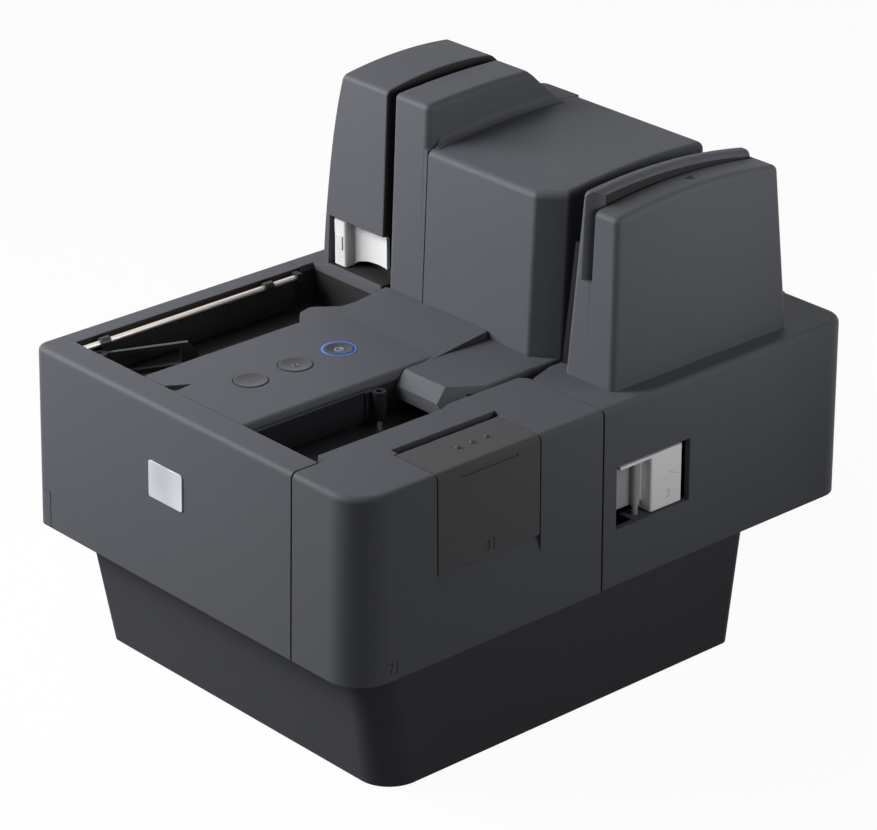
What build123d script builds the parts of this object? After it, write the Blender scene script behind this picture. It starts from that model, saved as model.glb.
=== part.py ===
from build123d import *
import os
from math import atan2, degrees, hypot, sqrt

os.makedirs("parts", exist_ok=True)

# Cheque scanner: a body on a narrower base, two pockets open at the top, and a
# document track that runs back along the right side, round behind the centre
# tower and forward again along the left side.
# X is to the right seen from the front, Y to the back, Z up, in millimetres.
# The origin is on the table, under the middle of the body.

# ---- Overall sizes
body_width = 225.0
body_depth = 298.0
underside_z = 57.0
body_top_z = 145.0
front_lean = 2.6
wall = 3.0
top_edge_radius = 3.0
mark_depth = 0.35
mark_width = 0.6

# ---- Clearances
seam = 1.0
fit_gap = 0.2
pin_clearance = 0.06

# ---- Lines that the covers meet on
seam_front_x = 69.5
seam_right_y = -6.5
seam_left_y = -0.2
front_inner_y = -131.7
left_inner_x = -101.0
hopper_right_x = 63.8
front_right_radius = 18.0
front_left_radius = 5.7
back_corner_radius = 12.0

# ---- Track and towers
pocket_depth = 20.0
deck_thickness = 3.0
track_width = 3.0
track_right_x = 59.0
track_left_x = -48.8
track_rear_y = 107.3
turn_radius = 24.0
tower_front_y = 9.3
tower_lean = 0.05
centre_tower_height = 81.3
rear_guide_height = 60.0
hump_height = 99.5
tower_seam_x = -24.5
left_tower_height = 101.0
fin_height = 88.5
card_panel_height = 83.0
card_slot_x = 83.4
card_slot_width = 1.4
card_slot_floor = 46.0

# ---- Control panel and buttons
panel_left_x = -50.5
panel_right_x = 20.5
panel_skin = 2.5
ramp_start_y = -21.7
ramp_rise = 3.6
button_x = -15.5
button_pitch = 25.5
first_button_y = -99.4
button_radius = 8.0
button_travel = 1.0

# ---- Hinges, rollers and pins
right_hinge_x = 64.0
left_hinge_x = -58.0
hinge_radius = 4.0
hinge_pin_radius = 1.5
drive_roller_radius = 9.0
idler_roller_radius = 6.0
shaft_radius = 2.0
pulley_radius = 7.0
door_pin_radius = 0.8

# ---- Worked out from the sizes above
left_x = -body_width / 2
right_x = body_width / 2
front_y = -body_depth / 2
back_y = body_depth / 2
deck_z = body_top_z - pocket_depth
deck_low_z = deck_z - deck_thickness
flange_z = body_top_z - wall
floor_z = underside_z + wall
paper_gap = 0.3
track_right_outer_x = track_right_x + track_width
track_left_outer_x = track_left_x - track_width
rear_corner_y = track_rear_y - turn_radius
front_plane = Plane(
    origin=(0, front_y, underside_z),
    x_dir=(1, 0, 0),
    z_dir=(0, -(body_top_z - underside_z), front_lean),
)


def box_between(x0, x1, y0, y1, z0, z1, mode=Mode.ADD):
    """Box between pairs of limits on each axis."""
    with Locations(((x0 + x1) / 2, (y0 + y1) / 2, (z0 + z1) / 2)):
        Box(abs(x1 - x0), abs(y1 - y0), abs(z1 - z0), mode=mode)


def post(x, y, radius, z0, z1, mode=Mode.ADD):
    """Upright cylinder from z0 to z1."""
    with Locations((x, y, (z0 + z1) / 2)):
        Cylinder(radius, z1 - z0, mode=mode)


def rod_along_y(x, z, radius, y0, y1, mode=Mode.ADD):
    """Cylinder that lies along Y."""
    with Locations((x, (y0 + y1) / 2, z)):
        Cylinder(radius, y1 - y0, rotation=(90, 0, 0), mode=mode)


def prism(points, z0, z1, mode=Mode.ADD):
    """Upright prism over an outline in plan."""
    with BuildSketch(Plane.XY.offset(z0)) as outline:
        with BuildLine():
            Polyline(*points, close=True)
        make_face()
    extrude(outline.sketch, amount=z1 - z0, mode=mode)


def side_prism(points, x0, x1, mode=Mode.ADD):
    """Prism along X over an outline of (y, z) points."""
    with BuildSketch(Plane.YZ.offset(x0)) as outline:
        with BuildLine():
            Polyline(*points, close=True)
        make_face()
    extrude(outline.sketch, amount=x1 - x0, mode=mode)


def front_prism(points, y0, y1, mode=Mode.ADD):
    """Prism along Y over an outline of (x, z) points."""
    with BuildSketch(Plane.XZ.offset(-y0)) as outline:
        with BuildLine():
            Polyline(*points, close=True)
        make_face()
    extrude(outline.sketch, amount=y0 - y1, mode=mode)


def rounded_plan(z, x_limits, y_limits, radii):
    """Rectangle at height z; radii run front left, front right, back right, back left."""
    x0, x1 = x_limits
    y0, y1 = y_limits
    corners = ((x0, y0), (x1, y0), (x1, y1), (x0, y1))
    with BuildSketch(Plane.XY.offset(z)) as plan:
        with Locations(((x0 + x1) / 2, (y0 + y1) / 2)):
            Rectangle(x1 - x0, y1 - y0)
        for (x, y), radius in zip(corners, radii):
            if radius > 0:
                fillet(plan.vertices().sort_by_distance((x, y, 0))[0], radius)
    return plan.sketch


def rounded_block(x_limits, y_limits, radii, z0, z1, mode=Mode.ADD):
    """Upright block over a rectangle whose corners have their own radii."""
    extrude(rounded_plan(z0, x_limits, y_limits, radii), amount=z1 - z0, mode=mode)


def engrave(start, end):
    """Cut one stroke of a sunk mark into the right face, between two (y, z) points."""
    run = end[0] - start[0]
    rise = end[1] - start[1]
    lean = degrees(atan2(rise, run))
    with Locations((right_x, start[0] + run / 2, start[1] + rise / 2)):
        Box(2 * mark_depth, hypot(run, rise), mark_width, rotation=(lean, 0, 0), mode=Mode.SUBTRACT)


def upright_edge(piece, x, y):
    """The upright edge of a piece that is nearest to a point in plan."""
    edges = piece.edges().filter_by(lambda e: abs((e @ 1 - e @ 0).Z) > 5)
    return edges.sort_by(lambda e: hypot((e @ 0.5).X - x, (e @ 0.5).Y - y))[0]


def save(piece, name):
    """Label a finished piece and write its STEP file."""
    piece.part.label = name
    export_step(piece.part, f"parts/{name}.step")


# ======================================================================
# Base
# ======================================================================
foot_height = 1.5
base_foot = ((-84.0, 110.0), (-131.0, 79.0))
base_head = ((-88.5, 111.0), (-139.0, 86.0))
base_radii = (5.0, 16.0, 5.0, 5.0)
base_inner_radii = [radius - wall / 2 for radius in base_radii]
inlet_x = (-42.0, 42.0)
inlet_z = (14.0, 44.0)
plate_thickness = 1.5
screw_places = ((-70, -117), (-70, 65), (96, -117), (96, 65))
foot_places = ((-66, -103), (-66, 51), (92, -103), (92, 51))
foot_radius = 7.0
power_socket = (-22.0, 29.0)
data_socket_x = (13.0, 25.0)
data_socket_z = (23.5, 34.5)


def inset(limits, amount):
    """The same limits, moved inwards on both sides."""
    return (limits[0] + amount, limits[1] - amount)


with BuildPart() as base_housing:
    outer_foot = rounded_plan(foot_height, *base_foot, base_radii)
    outer_head = rounded_plan(underside_z, *base_head, base_radii)
    loft((outer_foot, outer_head))
    inner_foot = rounded_plan(
        foot_height, *(inset(span, wall) for span in base_foot), base_inner_radii
    )
    inner_head = rounded_plan(
        underside_z - wall, *(inset(span, wall) for span in base_head), base_inner_radii
    )
    loft((inner_foot, inner_head), mode=Mode.SUBTRACT)
    box_between(*inlet_x, base_foot[1][1] - 12, back_y, *inlet_z, mode=Mode.SUBTRACT)
    for x, y in screw_places:
        post(x, y, 4.0, foot_height + plate_thickness, underside_z - wall / 2)
        post(x, y, 1.3, foot_height, foot_height + 12, mode=Mode.SUBTRACT)
save(base_housing, "base_housing")

plate_inset = wall + fit_gap
with BuildPart() as bottom_plate:
    rounded_block(
        *(inset(span, plate_inset) for span in base_foot), base_inner_radii,
        foot_height, foot_height + plate_thickness,
    )
    for x, y in screw_places:
        post(x, y, 1.7, foot_height - 1, foot_height + 3, mode=Mode.SUBTRACT)
    vents = GridLocations(9, 0, 8, 1)
    with Locations((10, -25, foot_height)):
        with vents:
            Box(3, 40, 6, mode=Mode.SUBTRACT)
save(bottom_plate, "bottom_plate")

with BuildPart() as rubber_feet:
    for x, y in foot_places:
        post(x, y, foot_radius, 0, foot_height)
save(rubber_feet, "rubber_feet")

with BuildPart() as base_screws:
    for x, y in screw_places:
        post(x, y, 2.6, 0.4, foot_height)
        post(x, y, 1.2, foot_height, foot_height + 10)
save(base_screws, "base_screws")

# The rear sockets sit on a plate that fills the opening in the base.
socket_plate_y = 76.0
with BuildPart() as connector_panel:
    box_between(
        *inset(inlet_x, fit_gap), socket_plate_y - 1.5, socket_plate_y, *inset(inlet_z, fit_gap)
    )
    box_between(
        *inset(inlet_x, fit_gap), socket_plate_y, socket_plate_y + 4, *inset(inlet_z, fit_gap)
    )
    rim = inset(inset(inlet_x, fit_gap), 1.5)
    box_between(*rim, socket_plate_y, socket_plate_y + 4, *inset(inlet_z, 1.7), mode=Mode.SUBTRACT)
    rod_along_y(
        *power_socket, 5.0 + fit_gap, socket_plate_y - 5, socket_plate_y + 3, mode=Mode.SUBTRACT
    )
    box_between(
        *inset(data_socket_x, -fit_gap), socket_plate_y - 4, socket_plate_y + 1,
        *inset(data_socket_z, -fit_gap), mode=Mode.SUBTRACT,
    )
save(connector_panel, "connector_panel")

with BuildPart() as rear_sockets:
    rod_along_y(*power_socket, 5.0, socket_plate_y - 12, socket_plate_y + 0.6)
    rod_along_y(*power_socket, 3.2, socket_plate_y - 9, socket_plate_y + 1, mode=Mode.SUBTRACT)
    rod_along_y(*power_socket, 1.0, socket_plate_y - 11, socket_plate_y)
    box_between(*data_socket_x, socket_plate_y - 14, socket_plate_y + 0.6, *data_socket_z)
    box_between(
        *inset(data_socket_x, 2), socket_plate_y - 10, socket_plate_y + 1,
        *inset(data_socket_z, 1.5), mode=Mode.SUBTRACT,
    )
    box_between(
        *inset(data_socket_x, 4), socket_plate_y - 11, socket_plate_y - 1, *inset(data_socket_z, 4)
    )
save(rear_sockets, "rear_sockets")

# ======================================================================
# Frame and deck inside the body
# ======================================================================
frame_inset = wall + fit_gap
frame_back_y = 140.0
deck_right_x = 68.0
deck_left_x = left_inner_x - 2.0
deck_posts = ((-90, -120), (-90, 95), (0, -120), (55, -120), (0, -10), (55, 95), (-30, 95))
board_posts = ((-84, -100), (-84, -20), (-14, -100), (-14, -20))
board_z = floor_z + 6
board_thickness = 1.6
ink_x = (75.0, 100.0)
ink_y = (-95.0, -50.0)
tray_floor_z = floor_z + 2


def clear_frame():
    """Cut a cover back where the frame's plate passes inside its walls."""
    rounded_block(
        inset((left_x, right_x), frame_inset),
        (front_y + wall + front_lean, frame_back_y + 0.5),
        (3, front_right_radius - 2, 5, 5),
        underside_z - 1, floor_z + 0.7, mode=Mode.SUBTRACT,
    )


with BuildPart() as main_frame:
    rounded_block(
        inset((left_x, right_x), frame_inset + 0.5),
        (front_y + wall + front_lean + fit_gap, frame_back_y),
        (3, front_right_radius - 1, 6, 6),
        underside_z, floor_z,
    )
    for x, y in deck_posts:
        post(x, y, 5.0, floor_z, deck_low_z)
        post(x, y, 1.3, deck_low_z - 12, deck_low_z, mode=Mode.SUBTRACT)
    for x, y in board_posts:
        post(x, y, 3.0, floor_z, board_z)
    # tray that holds the ink cartridge
    tray_high_z = floor_z + 12
    box_between(*inset(ink_x, -3), *inset(ink_y, -3), floor_z, tray_high_z)
    box_between(
        *inset(ink_x, -fit_gap), *inset(ink_y, -fit_gap), tray_floor_z, tray_high_z,
        mode=Mode.SUBTRACT,
    )
save(main_frame, "main_frame")

track_middle_x = track_right_x + track_width / 2
left_middle_x = track_left_x - track_width / 2
right_drive_x = track_middle_x - paper_gap / 2 - drive_roller_radius
left_drive_x = left_middle_x + paper_gap / 2 + drive_roller_radius
right_idler_x = track_middle_x + paper_gap / 2 + idler_roller_radius
left_idler_x = left_middle_x - paper_gap / 2 - idler_roller_radius
front_pair_y = 34.0
back_pair_y = 76.0
drive_places = (
    (right_drive_x, front_pair_y),
    (right_drive_x, back_pair_y),
    (left_drive_x, back_pair_y),
    (left_drive_x, front_pair_y),
)
idler_places = (
    (right_idler_x, front_pair_y),
    (right_idler_x, back_pair_y),
    (left_idler_x, back_pair_y),
    (left_idler_x, front_pair_y),
)
bearing_radius = 4.5
motor_x = 5.0
motor_y = front_pair_y
motor_top_z = deck_low_z - 15
motor_plate_z = motor_top_z + 3
feed_roller_radius = 9.0
feed_place = (track_right_outer_x - 0.5 - paper_gap - feed_roller_radius, -26.0)
retard_radius = 7.5
retard_place = (track_right_outer_x - 0.5 + retard_radius, -26.0)
pickup_radius = 8.0
pickup_place = (hopper_right_x + pickup_radius - 1.2, -72.0)
hopper_pin = (26.0, -60.5)
arm_pin = (-93.0, -124.0)

with BuildPart() as track_deck:
    box_between(deck_left_x, deck_right_x, front_inner_y - 2.0, 113, deck_low_z, deck_z)
    for x, y in drive_places:
        post(x, y, bearing_radius + fit_gap / 2, deck_low_z, deck_z, mode=Mode.SUBTRACT)
    for x, y in deck_posts:
        post(x, y, 1.7, deck_low_z, deck_z, mode=Mode.SUBTRACT)
    for x, y in (hopper_pin, arm_pin):
        post(x, y, hinge_pin_radius, deck_low_z, deck_z, mode=Mode.SUBTRACT)
    post(*feed_place, shaft_radius + 0.4, deck_low_z, deck_z, mode=Mode.SUBTRACT)
    # hangers that carry the motor plate under the deck
    with Locations((motor_x, motor_y, (motor_plate_z + deck_low_z) / 2)):
        with GridLocations(28, 28, 2, 2):
            Cylinder(2.5, deck_low_z - motor_plate_z)
    box_between(
        motor_x - 19, motor_x + 19, motor_y - 19, motor_y + 19, motor_top_z, motor_plate_z
    )
    post(motor_x, motor_y, 5.0, motor_top_z, motor_plate_z, mode=Mode.SUBTRACT)
save(track_deck, "track_deck")

with BuildPart() as roller_bearings:
    for x, y in drive_places:
        post(x, y, bearing_radius, deck_low_z, deck_z)
        post(x, y, shaft_radius + pin_clearance, deck_low_z, deck_z, mode=Mode.SUBTRACT)
save(roller_bearings, "roller_bearings")

with BuildPart() as pivot_pins:
    post(*hopper_pin, hinge_pin_radius, deck_low_z, body_top_z - 7)
    post(*arm_pin, hinge_pin_radius, deck_low_z, body_top_z - 6)
save(pivot_pins, "pivot_pins")

# ======================================================================
# Fixed covers of the body
# ======================================================================
corner_foot_x = left_inner_x - 1.0
rod_x = left_inner_x + 3.0
rod_z = body_top_z - 3.0
rod_radius = 1.4
corner_foot_z = 75.0

with BuildPart() as front_panel:
    panel_end_x = seam_front_x - seam / 2
    box_between(left_x, panel_end_x, front_y, front_inner_y, underside_z, body_top_z)
    split(bisect_by=front_plane, keep=Keep.BOTTOM)
    fillet(upright_edge(front_panel, left_x, front_y), front_left_radius)
    top_face = front_panel.faces().sort_by(Axis.Z)[-1]
    rim_edges = top_face.edges().filter_by(lambda e: (e @ 0.5).Y < front_inner_y - 1)
    rim_edges = rim_edges.filter_by(lambda e: (e @ 0.5).X < panel_end_x - 1)
    fillet(rim_edges, top_edge_radius)
    cavity_front = front_y + wall + front_lean
    box_between(
        left_x + wall, panel_end_x - wall, cavity_front, front_inner_y - 2, underside_z, flange_z,
        mode=Mode.SUBTRACT,
    )
    box_between(
        left_x, corner_foot_x, front_y, front_inner_y, underside_z, corner_foot_z,
        mode=Mode.SUBTRACT,
    )
    box_between(
        left_x + wall, panel_end_x - wall, front_inner_y - 2, front_inner_y, underside_z, deck_z,
        mode=Mode.SUBTRACT,
    )
    box_between(
        panel_end_x - wall - 1, panel_end_x, front_inner_y - 2, front_inner_y, deck_low_z - fit_gap,
        deck_z, mode=Mode.SUBTRACT,
    )
    clear_frame()
    for x in (-75, -8, 50):
        post(x, (cavity_front + front_inner_y - 2) / 2, 3.5, floor_z, flange_z)
    rod_along_y(
        rod_x, rod_z, rod_radius, front_inner_y - 1.7, front_inner_y + 1, mode=Mode.SUBTRACT
    )
save(front_panel, "front_panel")

badge_x = (-28.0, -4.5)
badge_z = (body_top_z - 45, body_top_z - 27.5)
badge_thickness = 0.6
with BuildPart() as front_badge:
    height_on_face = (sum(badge_z) / 2 - underside_z) * hypot(
        1, front_lean / (body_top_z - underside_z)
    )
    with BuildSketch(front_plane):
        with Locations((sum(badge_x) / 2, height_on_face)):
            RectangleRounded(badge_x[1] - badge_x[0], badge_z[1] - badge_z[0], 1.2)
    extrude(amount=badge_thickness)
save(front_badge, "front_badge")

with BuildPart() as left_housing:
    housing_front = front_inner_y + seam / 2
    housing_back = seam_left_y - seam / 2
    box_between(left_x, left_inner_x, housing_front, housing_back, underside_z, body_top_z)
    outer_top = left_housing.edges().filter_by(Axis.Y).group_by(Axis.Z)[-1].sort_by(Axis.X)[0]
    fillet(outer_top, top_edge_radius)
    box_between(
        left_x + wall, left_inner_x - 2, housing_front + 2, housing_back - 2, underside_z, flange_z,
        mode=Mode.SUBTRACT,
    )
    box_between(
        left_inner_x - 2, left_inner_x, housing_front, housing_back, underside_z, deck_z,
        mode=Mode.SUBTRACT,
    )
    # foot that wraps the front left corner under the front panel
    box_between(
        left_x, corner_foot_x - seam / 2, front_y, housing_front + 2, underside_z,
        corner_foot_z - seam / 2,
    )
    split(bisect_by=front_plane, keep=Keep.BOTTOM)
    fillet(upright_edge(left_housing, left_x, front_y), front_left_radius)
    box_between(
        left_x + wall, corner_foot_x - seam / 2 - wall, front_y + wall + front_lean,
        housing_front + 2, underside_z, corner_foot_z - wall,
        mode=Mode.SUBTRACT,
    )
    # socket that holds the back end of the exit guide's rod
    box_between(left_inner_x - 1, rod_x + 2.2, -5.8, -2.8, rod_z - 2.2, rod_z + 2.2)
    rod_along_y(rod_x, rod_z, rod_radius, -6, -4.3, mode=Mode.SUBTRACT)
    clear_frame()
save(left_housing, "left_housing")

# The right front cover carries the hopper's right wall and the door opening.
door_y = (-103.3, -43.6)
door_inner_x = 84.9
door_slot_x = 80.3
door_low_z = 96.6
door_gap = 0.7
ledge_drop = 7.0
cover_back_y = seam_right_y - seam / 2
slot_side_x = track_right_outer_x - 0.5
with BuildPart() as right_front_cover:
    start_x = seam_front_x + seam / 2
    outline = (
        (start_x, front_y),
        (right_x, front_y),
        (right_x, cover_back_y),
        (slot_side_x + 4, cover_back_y),
        (slot_side_x, cover_back_y - 3),
        (slot_side_x, -51.5),
        (hopper_right_x, -57),
        (hopper_right_x, front_inner_y + 4.5),
        (start_x, front_inner_y + 3.5),
    )
    prism(outline, underside_z, body_top_z)
    split(bisect_by=front_plane, keep=Keep.BOTTOM)
    fillet(upright_edge(right_front_cover, right_x, front_y), front_right_radius)
    top_face = right_front_cover.faces().sort_by(Axis.Z)[-1]
    rim_edges = top_face.edges().filter_by(lambda e: (e @ 0.5).Y < front_y + 15 or (e @ 0.5).X > 105)
    rim_edges = rim_edges.filter_by(lambda e: (e @ 0.5).X > start_x + 1 and (e @ 0.5).Y < cover_back_y - 1)
    fillet(rim_edges, top_edge_radius)
    rounded_block(
        (start_x + wall, right_x - wall),
        (front_y + wall + front_lean, cover_back_y - wall),
        (0, front_right_radius - wall, 0, 0),
        underside_z, flange_z, mode=Mode.SUBTRACT,
    )
    box_between(
        hopper_right_x + 2.2, start_x + wall, front_inner_y + 9, cover_back_y - wall,
        underside_z, flange_z, mode=Mode.SUBTRACT,
    )
    box_between(slot_side_x, deck_right_x + 0.3, front_inner_y, 0, underside_z, deck_z, mode=Mode.SUBTRACT)
    box_between(door_inner_x, right_x, *door_y, door_low_z, body_top_z, mode=Mode.SUBTRACT)
    box_between(
        door_slot_x, door_inner_x, door_y[0] + 2.4, door_y[1] + 2.4, flange_z, body_top_z,
        mode=Mode.SUBTRACT,
    )
    front_prism(
        (
            (right_x, door_low_z - ledge_drop),
            (right_x + 1, door_low_z),
            (right_x - 2.2, door_low_z),
        ),
        *door_y, mode=Mode.SUBTRACT,
    )
    for y in door_y:
        rod_along_y(
            right_x - wall / 2, door_low_z + 2.2, door_pin_radius + pin_clearance, y - 2.5, y + 2.5,
            mode=Mode.SUBTRACT,
        )
    box_between(
        hopper_right_x - 1, hopper_right_x + 3, pickup_place[1] - 7.4, pickup_place[1] + 7.4,
        deck_z + 2, flange_z - 1, mode=Mode.SUBTRACT,
    )
    box_between(
        slot_side_x - 1, slot_side_x + 4.6, retard_place[1] - 8.5, retard_place[1] + 8.5,
        deck_z + 2, flange_z - 1, mode=Mode.SUBTRACT,
    )
    for x, y in (pickup_place, retard_place):
        post(x, y, shaft_radius + pin_clearance, flange_z - 1, body_top_z - 1, mode=Mode.SUBTRACT)
    clear_frame()
    for x, y in ((88, -138), (100, -18)):
        post(x, y, 3.5, floor_z, flange_z)
    # moulder's sunk marks: an angle and a bar
    engrave((-131.6, 65.6), (-128.3, 65.4))
    engrave((-128.4, 65.4), (-130.2, 60.4))
    engrave((-126.1, 66.3), (-126.3, 59.9))
save(right_front_cover, "right_front_cover")

with BuildPart() as imprinter_door:
    y_span = inset(door_y, door_gap)
    low_z = door_low_z + 1.0
    box_between(door_inner_x + door_gap, right_x, *y_span, low_z, body_top_z)
    outer_edges = imprinter_door.edges().filter_by(Axis.Y)
    fillet(outer_edges.sort_by(lambda e: -(e @ 0.5).X - (e @ 0.5).Z)[0], top_edge_radius)
    box_between(door_inner_x, right_x - wall, *door_y, low_z - 1, flange_z, mode=Mode.SUBTRACT)
    low_edges = imprinter_door.edges().filter_by(Axis.Y).group_by(Axis.Z)[0]
    fillet(low_edges, 1.2)
    rod_along_y(
        right_x - wall / 2, door_low_z + 2.2, door_pin_radius, door_y[0] - 2, door_y[1] + 2
    )
    # moulder's sunk marks: a plain 1 and a bar
    engrave((-73.5, 105.4), (-73.8, 101.0))
    engrave((-75.0, 104.1), (-73.5, 105.2))
    engrave((-75.9, 101.4), (-73.7, 101.0))
    engrave((-70.8, 106.2), (-71.0, 100.0))
    # three raised dots on top show where to press
    for index in range(3):
        with Locations((97.7, -78.3 + 8.2 * index, body_top_z - 0.2)):
            Sphere(1.3)
    box_between(right_x - 0.5, right_x, -89, -57, body_top_z - 5.2, body_top_z - 4.0, mode=Mode.SUBTRACT)
save(imprinter_door, "imprinter_door")

with BuildPart() as ink_cartridge:
    box_between(*ink_x, *ink_y, tray_floor_z + 0.3, 118)
    box_between(69.5, ink_x[0] + 1, ink_y[0] + 5, ink_y[0] + 25, 90, 118)
    fillet(ink_cartridge.edges().filter_by(Axis.Z), 1.0)
save(ink_cartridge, "ink_cartridge")

# ======================================================================
# Rear cover, hinge barrels and the guide round the back of the track
# ======================================================================
hinge_y = back_y - hinge_radius
rear_right_x = right_hinge_x - hinge_radius - 0.5
rear_left_x = left_hinge_x + hinge_radius + 0.5
guide_thickness = 2.0
rear_plate_y = track_rear_y + track_width + guide_thickness + 1.2
knuckle_zs = (underside_z + 1, 79.0, 101.0, 123.0, body_top_z)
knuckle_gap = 0.4


def knuckles(hinge_x, first):
    """Every second length of a hinge's barrel, from the first index on."""
    for index in range(first, len(knuckle_zs) - 1, 2):
        post(hinge_x, hinge_y, hinge_radius, knuckle_zs[index], knuckle_zs[index + 1] - knuckle_gap)


def clear_pin(hinge_x):
    """Bore a hinge's barrel for its pin."""
    post(
        hinge_x, hinge_y, hinge_pin_radius + pin_clearance, underside_z, body_top_z - 2,
        mode=Mode.SUBTRACT,
    )


with BuildPart() as rear_cover:
    box_between(rear_left_x, rear_right_x, rear_plate_y, back_y, underside_z, body_top_z)
    back_top = rear_cover.edges().filter_by(Axis.X).group_by(Axis.Z)[-1].sort_by(Axis.Y)[-1]
    fillet(back_top, top_edge_radius)
    box_between(
        rear_left_x, rear_right_x, rear_plate_y, back_y - wall, underside_z, flange_z,
        mode=Mode.SUBTRACT,
    )
    flap_back_y = hinge_y - hinge_radius - 0.5
    for hinge_x, outer_x in (
        (right_hinge_x, right_hinge_x + hinge_radius - 1.0),
        (left_hinge_x, left_hinge_x - hinge_radius + 1.0),
    ):
        inner_x = rear_right_x if hinge_x > 0 else rear_left_x
        box_between(inner_x, outer_x, rear_plate_y, flap_back_y, flange_z, body_top_z)
        knuckles(hinge_x, 0)
        for index in (0, 2):
            box_between(
                inner_x - 2 if hinge_x > 0 else inner_x + 2, hinge_x, back_y - wall, back_y - 0.6,
                knuckle_zs[index], knuckle_zs[index + 1] - knuckle_gap,
            )
        clear_pin(hinge_x)
    for x in (-30, 30):
        box_between(x - 1.5, x + 1.5, back_y - 20, back_y - wall, floor_z, flange_z)
    with Locations((0, back_y - 1, underside_z + 14)):
        with GridLocations(8, 0, 9, 1):
            Box(4, 6, 12, mode=Mode.SUBTRACT)
save(rear_cover, "rear_cover")

with BuildPart() as hinge_pins:
    for hinge_x in (right_hinge_x, left_hinge_x):
        post(hinge_x, hinge_y, hinge_pin_radius, underside_z + 0.2, body_top_z - 2.2)
save(hinge_pins, "hinge_pins")

guide_gap = 0.5
with BuildPart() as rear_track_guide:
    inner_radius = turn_radius + track_width
    outer_radius = inner_radius + guide_thickness
    rounded_block(
        (track_left_outer_x - guide_thickness, track_right_outer_x + guide_thickness),
        (0, track_rear_y + track_width + guide_thickness),
        (0, 0, outer_radius, outer_radius),
        deck_z, body_top_z + rear_guide_height,
    )
    rounded_block(
        (track_left_outer_x, track_right_outer_x),
        (-10, track_rear_y + track_width),
        (0, 0, inner_radius, inner_radius),
        deck_z, body_top_z + rear_guide_height, mode=Mode.SUBTRACT,
    )
    box_between(left_x, right_x, -20, rear_corner_y + guide_gap, 0, 300, mode=Mode.SUBTRACT)
save(rear_track_guide, "rear_track_guide")

# ======================================================================
# Centre tower
# ======================================================================
centre_crest_y = 78.0
centre_arch_radius = 440.0
hump_crest_y = 60.0
hump_arch_radius = 500.0
hump_end_y = 75.5
chamfer_start_x = 47.5
chamfer_depth_y = 9.0
tower_top_radius = 3.5
tower_edge_radius = 3.0
crisp_edge_radius = 1.2
tower_corner_radius = 4.0
window_low_z = deck_z + 3.5
window_high_z = body_top_z - 3.5
sensor_y = (49.0, 61.0)
sensor_low_z = deck_z + 2.0
sensor_high_z = body_top_z + 92.0
seam_half = 0.3


def arch_height(y, crest_y, crest, radius):
    """Height above the body's top of an arched roof at y."""
    return crest - (radius - sqrt(radius**2 - (y - crest_y) ** 2))


def arched_tower(x0, x1, low_z, back, crest_y, crest, radius, skin=0.0, mode=Mode.ADD):
    """Tower along X: a leaning front face, an arched roof and an upright back."""
    front = tower_front_y + skin
    roof_front = front + tower_lean * crest
    front_height = arch_height(roof_front, crest_y, crest, radius) - skin
    middle_y = (roof_front + back) / 2
    middle_height = arch_height(middle_y, crest_y, crest, radius) - skin
    back_height = arch_height(back, crest_y, crest, radius) - skin
    with BuildSketch(Plane.YZ.offset(x0)) as side:
        with BuildLine():
            Polyline((back, body_top_z + back_height), (back, low_z), (front, low_z))
            Polyline((front, low_z), (front, body_top_z), (roof_front, body_top_z + front_height))
            ThreePointArc(
                (roof_front, body_top_z + front_height),
                (middle_y, body_top_z + middle_height),
                (back, body_top_z + back_height),
            )
        make_face()
    extrude(side.sketch, amount=x1 - x0, mode=mode)


def round_turn(corner_x, side, skin=0.0):
    """Round a tower's back corner to the track's turn, up to the rear guide's height."""
    centre_x = corner_x - side * turn_radius
    low_z = deck_z - 1
    high_z = body_top_z + rear_guide_height
    with BuildSketch(Plane.XY.offset(low_z)) as corner:
        with Locations((centre_x + side * turn_radius / 2, rear_corner_y + turn_radius / 2)):
            Rectangle(turn_radius, turn_radius)
        with Locations((centre_x, rear_corner_y)):
            Circle(turn_radius, mode=Mode.SUBTRACT)
    extrude(corner.sketch, amount=high_z - low_z, mode=Mode.SUBTRACT)


chamfer_x_span = track_right_x - chamfer_start_x
chamfer_plane = Plane(
    origin=(chamfer_start_x, tower_front_y, deck_z),
    x_dir=(chamfer_x_span, chamfer_depth_y, 0),
    z_dir=(chamfer_depth_y, -chamfer_x_span, chamfer_x_span * tower_lean),
)
main_roof = (centre_crest_y, centre_tower_height, centre_arch_radius)

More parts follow.
